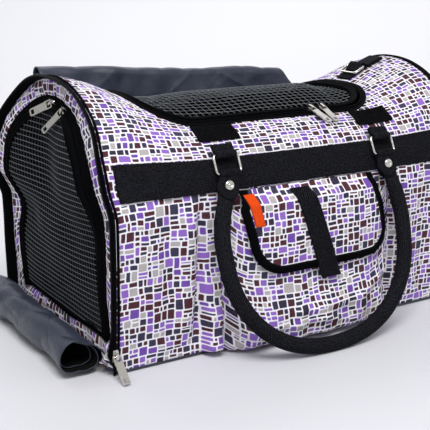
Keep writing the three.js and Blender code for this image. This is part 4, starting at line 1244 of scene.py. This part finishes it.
def pouch():
    left, right, _, high = POCKET
    xs = np.linspace(left, right, 170)
    v = np.linspace(0, 1, 104)
    z = np.where(v < 0.16, 1.2 + 8 * smooth(v / 0.16) ** 2, 9.2 + (high - 9.2) * (v - 0.16) / 0.84)
    x, z = np.meshgrid(xs, z, indexing="ij")
    tuck = np.sin(math.pi / 2 * np.clip(v / 0.16, 0, 1))[None, :] ** 0.75
    depth = (pocket_depth(x, np.maximum(z, 12)) + 2.0) * tuck
    from_side = np.minimum(x - left, right - x)
    below = smooth((95 - z) / 40)
    wander = noise(x, z, 44, 111)
    fold = 2.2 * smooth((60 - z) / 45) * np.sin((x + 14 * wander) / 7.5) * tuck
    fold += 2.6 * below * bump(z - 40 - 0.12 * x - 9 * noise(x, 0, 50, 112), 5) * smooth((x + 60) / 40)
    fold += 1.9 * below * bump(z - 21 + 0.1 * x - 7 * noise(x, 3, 43, 116), 4) * smooth((80 - x) / 60)
    fold += 1.8 * smooth((40 - from_side) / 28) * np.sin(x / 3.4 + 2.4 * noise(x, z, 36, 113)) * (0.3 + 0.7 * below)
    fold -= 3.0 * bump(x - left - 16 - 0.1 * (z - 80), 5) * smooth((120 - z) / 50)
    fold += 1.6 * noise(x, z, 30, 114) + 0.35 * noise(x, z, 9, 115)
    fold *= smooth(from_side / 7) * smooth((high - z) / 12)
    fold = np.where(z > 80, np.clip(fold, -2.5, 0.8 + 2.2 * smooth((92 - z) / 12)), fold)
    z = z + 1.6 * (1 + noise(x, 0, 19, 117)) * smooth(depth / 20) * smooth((14 - z) / 12)
    y = front_wall(z) - 0.8 - depth - fold
    outer = np.stack([x, y, z], -1)
    inner = np.stack([x, np.minimum(y + 1.5, front_wall(z) - 0.4), z + 0.3], -1)
    drape = front_wall(z) - depth
    way = np.cumsum(np.concatenate([np.zeros((len(xs), 1)), np.hypot(np.diff(drape), np.diff(z))], 1), 1)
    flat = np.stack([x + 443, way + 31], -1)
    made = slab("pocket_pouch_cloth", outer, inner, flat, (PRINT, SHADED_INSIDE), "shell",
                hides=["pocket_pouch"])
    return made


def flap_y(x, z, out):
    draw = smooth((FLAP_TOP - z) / (FLAP_TOP - POCKET[3] - 2))
    stand = 1.2 + 3.4 * draw + pocket_depth(x, np.minimum(z, POCKET[3])) * draw
    soft = draw * (0.9 * noise(x, z, 42, 121) + 0.25 * noise(x, z, 13, 122))
    return front_wall(np.maximum(z, 60)) - stand - out - np.maximum(soft, -0.3)


def flap_line(inset):
    """The flap's edge in (x, z), from its top left round the bottom to its top right."""
    points = [(-92.8, 0), (-92.8, 10), (-98, 18)]
    line = [(x + inset, FLAP_TOP - d) for x, d in points]
    left, right = -89 + 44, 106 - 30
    turn = np.radians(np.arange(185, 271, 5))
    line += [(left + (44 - inset) * math.cos(a), FLAP_BOTTOM + 44 + (44 - inset) * math.sin(a)) for a in turn]
    turn = np.radians(np.arange(270, 356, 5))
    line += [(right + (30 - inset) * math.cos(a), FLAP_BOTTOM + 30 + (30 - inset) * math.sin(a)) for a in turn]
    line += [(x - inset, FLAP_TOP - d) for x, d in ((98, 34), (89, 14), (88, 0))]
    line = np.array(line)
    way = lengths(line)
    at = np.linspace(0, way[-1], 110)
    return np.stack([np.interp(at, way, line[:, k]) for k in range(2)], 1)


def on_flap(line, out):
    """A line of (x, z) places laid on the flap."""
    return np.stack([line[:, 0], flap_y(line[:, 0], line[:, 1], out), line[:, 1]], 1)


def flap():
    line = flap_line(7.5)
    mid = len(line) // 2
    left, right = line[:mid], line[mid:][::-1]
    bottom = FLAP_BOTTOM + 7.5
    drop = np.sin(np.linspace(0, math.pi / 2, 60))
    zs = FLAP_TOP - (FLAP_TOP - bottom) * drop
    xl = np.interp(zs, left[::-1, 1], left[::-1, 0])
    xr = np.interp(zs, right[::-1, 1], right[::-1, 0])
    t = np.linspace(0, 1, 96)
    x = xl[:, None] * (1 - t) + xr[:, None] * t
    z = np.broadcast_to(zs[:, None], x.shape)
    outer = np.stack([x, flap_y(x, z, 2.4), z], -1)
    inner = np.stack([x, flap_y(x, z, 0.2), z], -1)
    flat = np.stack([x + 861, z + 77], -1)
    cloth = slab("pocket_flap_cloth", outer, inner, flat, (PRINT, SHADED_INSIDE), "pocket_flap",
                 hides=["pocket_flap_panel"])
    section = [(0.2, 0.0), (-0.2, 1.4), (0.5, 2.7), (2.0, 3.3), (4.5, 3.2), (7.5, 3.1), (9.2, 2.9), (9.4, 2.2),
               (9.0, 0.4), (7.0, -0.3), (3.5, -0.4), (1.0, -0.4)]
    rings = np.stack([on_flap(flap_line(inset), out) for inset, out in section], 1)
    loft("pocket_flap_edge", rings, BINDING, "pocket_flap", hides=["pocket_flap_binding"])
    seam = on_flap(flap_line(8.0)[3:-3], 3.15)
    stitches("pocket_flap_stitches", [(seam, facing([0, -1, 0], seam))], "pocket_flap", 3.2)


def patch_on_flap(name, corners, base, top, look, node, steps=52, stitched=2.0):
    """A flat patch on the flap; corners are (x, z) of its left edge from the top down, then its right edge."""
    (x0, z0), (x1, z1), (x2, _), (x3, _) = corners
    section = band_profile(0, 1, base, top, 0.06, 9)
    section[:, 0] = np.clip(section[:, 0], 0, 1)
    t = np.linspace(0, 1, steps)[:, None]
    z = z0 + (z1 - z0) * t + 0 * section[None, :, 0]
    left, right = x0 + (x1 - x0) * t, x3 + (x2 - x3) * t
    x = left + (right - left) * section[None, :, 0]
    y = flap_y(x, np.maximum(z, 66), section[None, :, 1])
    width = abs(x3 - x0)
    around = lengths(joined_up(section * (width, 1)))
    along = t[:, 0] * math.hypot(x1 - x0, z1 - z0)
    flat = flat_grid(along, around)
    made = loft(name, np.stack([x, y, z], -1), look, "pocket_flap", uv=flat, hides=[node])
    lines = []
    for share in (stitched / width, 1 - stitched / width):
        zz = (z0 + (z1 - z0) * t[:, 0])[2:-2]
        xx = (left + (right - left) * share)[2:-2, 0]
        lines.append((on_flap(np.stack([xx, zz], 1), top), facing([0, -1, 0], xx)))
    stitches(f"{name}_stitches", lines, "pocket_flap", 2.6, 1.8, 0.55)
    return made


pouch()
flap()
patch_on_flap("pocket_closing_strip", ((-31.5, 172), (2, 71), (29, 71), (-5.5, 172)), 2.6, 5.6, STRAP,
              "pocket_flap_strip")
patch_on_flap("pocket_plain_label", ((-91, 172), (-83, 139), (-71, 138), (-77.5, 171)), 2.5, 3.6, LABEL,
              "pocket_label", 24, 0.9)

# ---------------------------------------------------------------- the rolled and folded covers


def crease(u, v, size, seed):
    """Crisp creases, from 0 between them to 1 on them."""
    return (1 - np.abs(noise(u, v, size, seed))) ** 3


def cloth_from_path(name, path, thick, flat_u, looks, body, hides, widths):
    """A sheet whose section is a line of points at each station: path is (stations, points, 3)."""
    along = np.gradient(path, axis=1)
    across = np.gradient(path, axis=0)
    normal = unit(np.cross(across, along))
    outer, inner = path + normal * (thick / 2), path - normal * (thick / 2)
    return slab(name, outer, inner, np.stack([flat_u, widths], -1), looks, body, hides=hides)


def rolled_cover():
    """The left cover, rolled under itself on the floor with its lining outwards."""
    ys = np.linspace(*ROLL_Y, 150)
    centre, r0 = np.array(ROLL_CENTRE), ROLL_RADIUS
    seam = np.array([-238.6, 4.0])
    gap = seam - centre
    start = math.atan2(gap[1], gap[0]) + math.acos(r0 / np.linalg.norm(gap))
    turn = np.linspace(0, ROLL_TURNS * 2 * math.pi, 190)
    radius = r0 - ROLL_SHRINK * turn / (2 * math.pi)
    spiral = centre + radius[:, None] * np.stack([np.cos(start + turn), np.sin(start + turn)], 1)
    lead = np.linspace(0, 1, 22, endpoint=False)[:, None]
    path = np.concatenate([seam * (1 - lead) + spiral[:1] * lead, spiral])
    way = lengths(path)
    y, w = np.meshgrid(ys, way, indexing="ij")
    grid = np.stack([np.broadcast_to(path[:, 0], y.shape), y, np.broadcast_to(path[:, 1], y.shape)], -1)
    out = grid[..., [0, 2]] - centre
    out = out / np.linalg.norm(out, axis=-1, keepdims=True)
    loose = smooth(w / 24)
    angle = np.arctan2(out[..., 1], out[..., 0])
    round_u = np.cos(angle) * 26
    round_v = np.sin(angle) * 26
    swell = 3.0 * noise(round_u + y * 0.5, round_v, 34, 131) + 1.6 * noise(round_u, y + round_v, 19, 132)
    swell -= 3.0 * crease(round_u + 0.55 * y, round_v * 0.6, 38, 133) + 1.0 * crease(y - round_u, round_v, 21, 134)
    end = bump(y + 122, 30)
    inmost = w / w.max()
    swell += end * (4.2 * np.cos(2 * angle + 0.5) + 1.8 * np.cos(3 * angle + 1.0) + 1.0) + 2.4
    swell = swell * loose * (1 - 0.5 * inmost * end)
    grid[..., 0] += out[..., 0] * swell
    grid[..., 2] = np.maximum(grid[..., 2] + out[..., 1] * swell, 1.0 + 0.02 * w / 10)
    grid[..., 1] += 3.5 * noise(w, 0, 60, 135) * (np.abs(ys)[:, None] / 126) + 17 * inmost**1.3 * smooth((-y - 60) / 60)
    sheet = cloth_from_path("left_cover_rolled", grid, COVER_THICK, y, (LINING, SHADED_INSIDE), "left_cover",
                            ["left_cover_roll"], w)
    return sheet


def folded_cover():
    """The roof cover, rolled flat and leaning behind the window."""
    t = np.linspace(0, 1, 170)[:, None]
    low = shell(FOLD_START + FOLD_LENGTH * t, (180 - 51.06 + 4) * math.pi / 180 * RADIUS)[..., 2] + 3.0
    high = 290 - 19 * t + 1.2 * np.sin(9 * t)
    tall = high - low
    open_end = smooth((0.075 - t) / 0.075)
    plump = 8.5 + 2.5 * open_end
    y0 = 96.5 - 1.5 * open_end

    def leg(y_from, z_from, y_to, z_to, count):
        s = np.linspace(0, 1, count, endpoint=False)[None, :]
        return y_from + (y_to - y_from) * s + 0 * low, z_from + (z_to - z_from) * s

    def bend(y_mid, z_mid, r, start, stop, count):
        a = np.radians(np.linspace(start, stop, count, endpoint=False))[None, :]
        return y_mid + r * np.cos(a) + 0 * low, z_mid + r * np.sin(a)

    parts = [
        leg(y0 - 5, low + 0.5, y0, low + 5, 6),
        leg(y0, low + 5, y0 + 1, high - plump, 26),
        bend(y0 + 1 + plump, high - plump, plump, 180, 0, 22),
        leg(y0 + 1 + 2 * plump, high - plump, y0 + 17, low + 8, 24),
        bend(y0 + 10.5, low + 8, 6.5, 0, -180, 16),
        leg(y0 + 4, low + 8, y0 + 4.5, high - plump - 3, 22),
        bend(y0 + 4.5 + 0.6 * plump, high - plump - 3, 0.6 * plump, 180, 0, 14),
        leg(y0 + 4.5 + 1.2 * plump, high - plump - 3, y0 + 13.5, low + 14, 18),
    ]
    y = np.concatenate([p[0] for p in parts], 1)
    z = np.concatenate([p[1] + 0 * low for p in parts], 1)
    rise = np.clip((z - low) / tall, 0, 1)
    slant = 1 - 0.055 * rise * smooth((t - 0.6) / 0.4) - 0.012 * rise * smooth((0.3 - t) / 0.3)
    x = FOLD_START + FOLD_LENGTH * t * slant + 0 * y
    wave = 2.4 * noise(x + 0.25 * z, z * 0.35, 34, 141) + 1.1 * noise(x - 0.5 * z, z * 0.5, 15, 142)
    wave -= 1.5 * crease(x * 0.45 + 0.8 * z, z * 0.3, 31, 143) + 1.2 * crease(x - 1.4 * z, x * 0.2, 37, 146)
    wave += 2.6 * noise(x - 0.3 * z, z * 0.15, 23, 147)
    y = y + 2.5 * rise + wave * smooth(rise * 3) * 0.9
    z = z + 1.3 * noise(x, y, 38, 144) * rise - 1.2 * crease(x, z, 30, 145) * rise
    grid = np.stack([x, y, z], -1)
    way = lengths(grid[85])
    w = np.broadcast_to(way[None, :], x.shape)
    sheet = cloth_from_path("top_cover_folded", grid, COVER_THICK, x + 0 * y, (LINING, LINING), "top_cover",
                            ["top_cover_fold"], w)
    return sheet


rolled_cover()
folded_cover()

# ---------------------------------------------------------------- CAD nodes that stay

for node_name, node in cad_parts.items():
    if node.hide_render:
        continue
    look = BOARD if node_name == "base_board" else CAST
    node.data.materials.clear()
    node.data.materials.append(look)
    edges = node.modifiers.new("worn_edges", "BEVEL")
    edges.width, edges.segments, edges.limit_method = 0.35 * MM, 2, "ANGLE"
    edges.angle_limit = math.radians(25)

# ---------------------------------------------------------------- floor, light and camera


def stage_sheet():
    """A pale floor that curves up into a backdrop."""
    profile = [(-16.0, 0.0), (2.0, 0.0)]
    for degrees in range(0, 91, 6):
        a = math.radians(degrees)
        profile.append((2.0 + 1.6 * math.sin(a), 1.6 - 1.6 * math.cos(a)))
    profile.append((3.6, 7.0))
    points = [(x, y, z) for y, z in profile for x in (-16.0, 16.0)]
    faces = [(2 * i, 2 * i + 1, 2 * i + 3, 2 * i + 2) for i in range(len(profile) - 1)]
    mesh = bpy.data.meshes.new("studio_floor")
    mesh.from_pydata(points, [], faces)
    mesh.polygons.foreach_set("use_smooth", np.ones(len(faces), bool))
    g = Graph("studio_floor")
    # Painted light: the floor is coloured darker near the camera and lighter towards the backdrop, standing in for the
    # fall of the light; the broad mottle is the floor's own slight unevenness.
    mottle = g.grain(g.place(), 900.0, 2.0)[0]
    depth = g.node("SeparateXYZ", {0: g.place()}).outputs[1]
    span = {"Value": depth, "From Min": -500.0, "From Max": 2600.0, "To Min": 0.0, "To Max": 1.0}
    painted_falloff = g.node("MapRange", span).outputs[0]
    colour = g.mix(painted_falloff, g.mix(mottle, rgb("cdcdd2"), rgb("d4d4d9")), rgb("e2e2e5"))
    mesh.materials.append(g.finish(colour, None, Roughness=0.5, Specular_IOR_Level=0.15))
    floor = bpy.data.objects.new("studio_floor", mesh)
    scene.collection.objects.link(floor)
    floor.rotation_euler.z = math.radians(VIEW_AZIMUTH)
    floor.location.z = -0.0006


def soft_light(name, place, size, power, target=(0, 0, 0.12), colour=(1, 1, 1)):
    data = bpy.data.lights.new(name, "AREA")
    data.shape, data.size, data.size_y = "RECTANGLE", size[0], size[1]
    data.energy, data.color = power, colour
    lamp = bpy.data.objects.new(name, data)
    scene.collection.objects.link(lamp)
    lamp.location = place
    lamp.rotation_euler = (Vector(target) - Vector(place)).to_track_quat("-Z", "Y").to_euler()


stage_sheet()

world = bpy.data.worlds.new("studio")
scene.world = world
world.use_nodes = True
world.node_tree.nodes["Background"].inputs["Color"].default_value = (0.97, 0.98, 1.0, 1)
world.node_tree.nodes["Background"].inputs["Strength"].default_value = 0.5
soft_light("key", (-0.7, -1.3, 2.2), (1.3, 1.1), 55)
soft_light("fill", (1.9, -1.6, 1.1), (1.6, 1.6), 5)
soft_light("back", (0.2, 1.5, 1.9), (2.2, 1.0), 14)
soft_light("backdrop", (1.5, 1.7, 3.3), (3.5, 2.0), 72, (2.9, 4.4, 1.2))

azimuth, elevation = math.radians(VIEW_AZIMUTH), math.radians(VIEW_ELEVATION)
back = Vector((math.sin(azimuth) * math.cos(elevation), -math.cos(azimuth) * math.cos(elevation), math.sin(elevation)))
camera = bpy.data.objects.new("camera", bpy.data.cameras.new("camera"))
scene.collection.objects.link(camera)
camera.location = VIEW_TARGET + back * VIEW_DISTANCE
camera.rotation_euler = back.to_track_quat("Z", "Y").to_euler()
camera.data.lens, camera.data.sensor_width = 80.65, 36.0
camera.data.clip_start, camera.data.clip_end = 0.05, 60
scene.camera = camera
scene.view_settings.view_transform = "Standard"
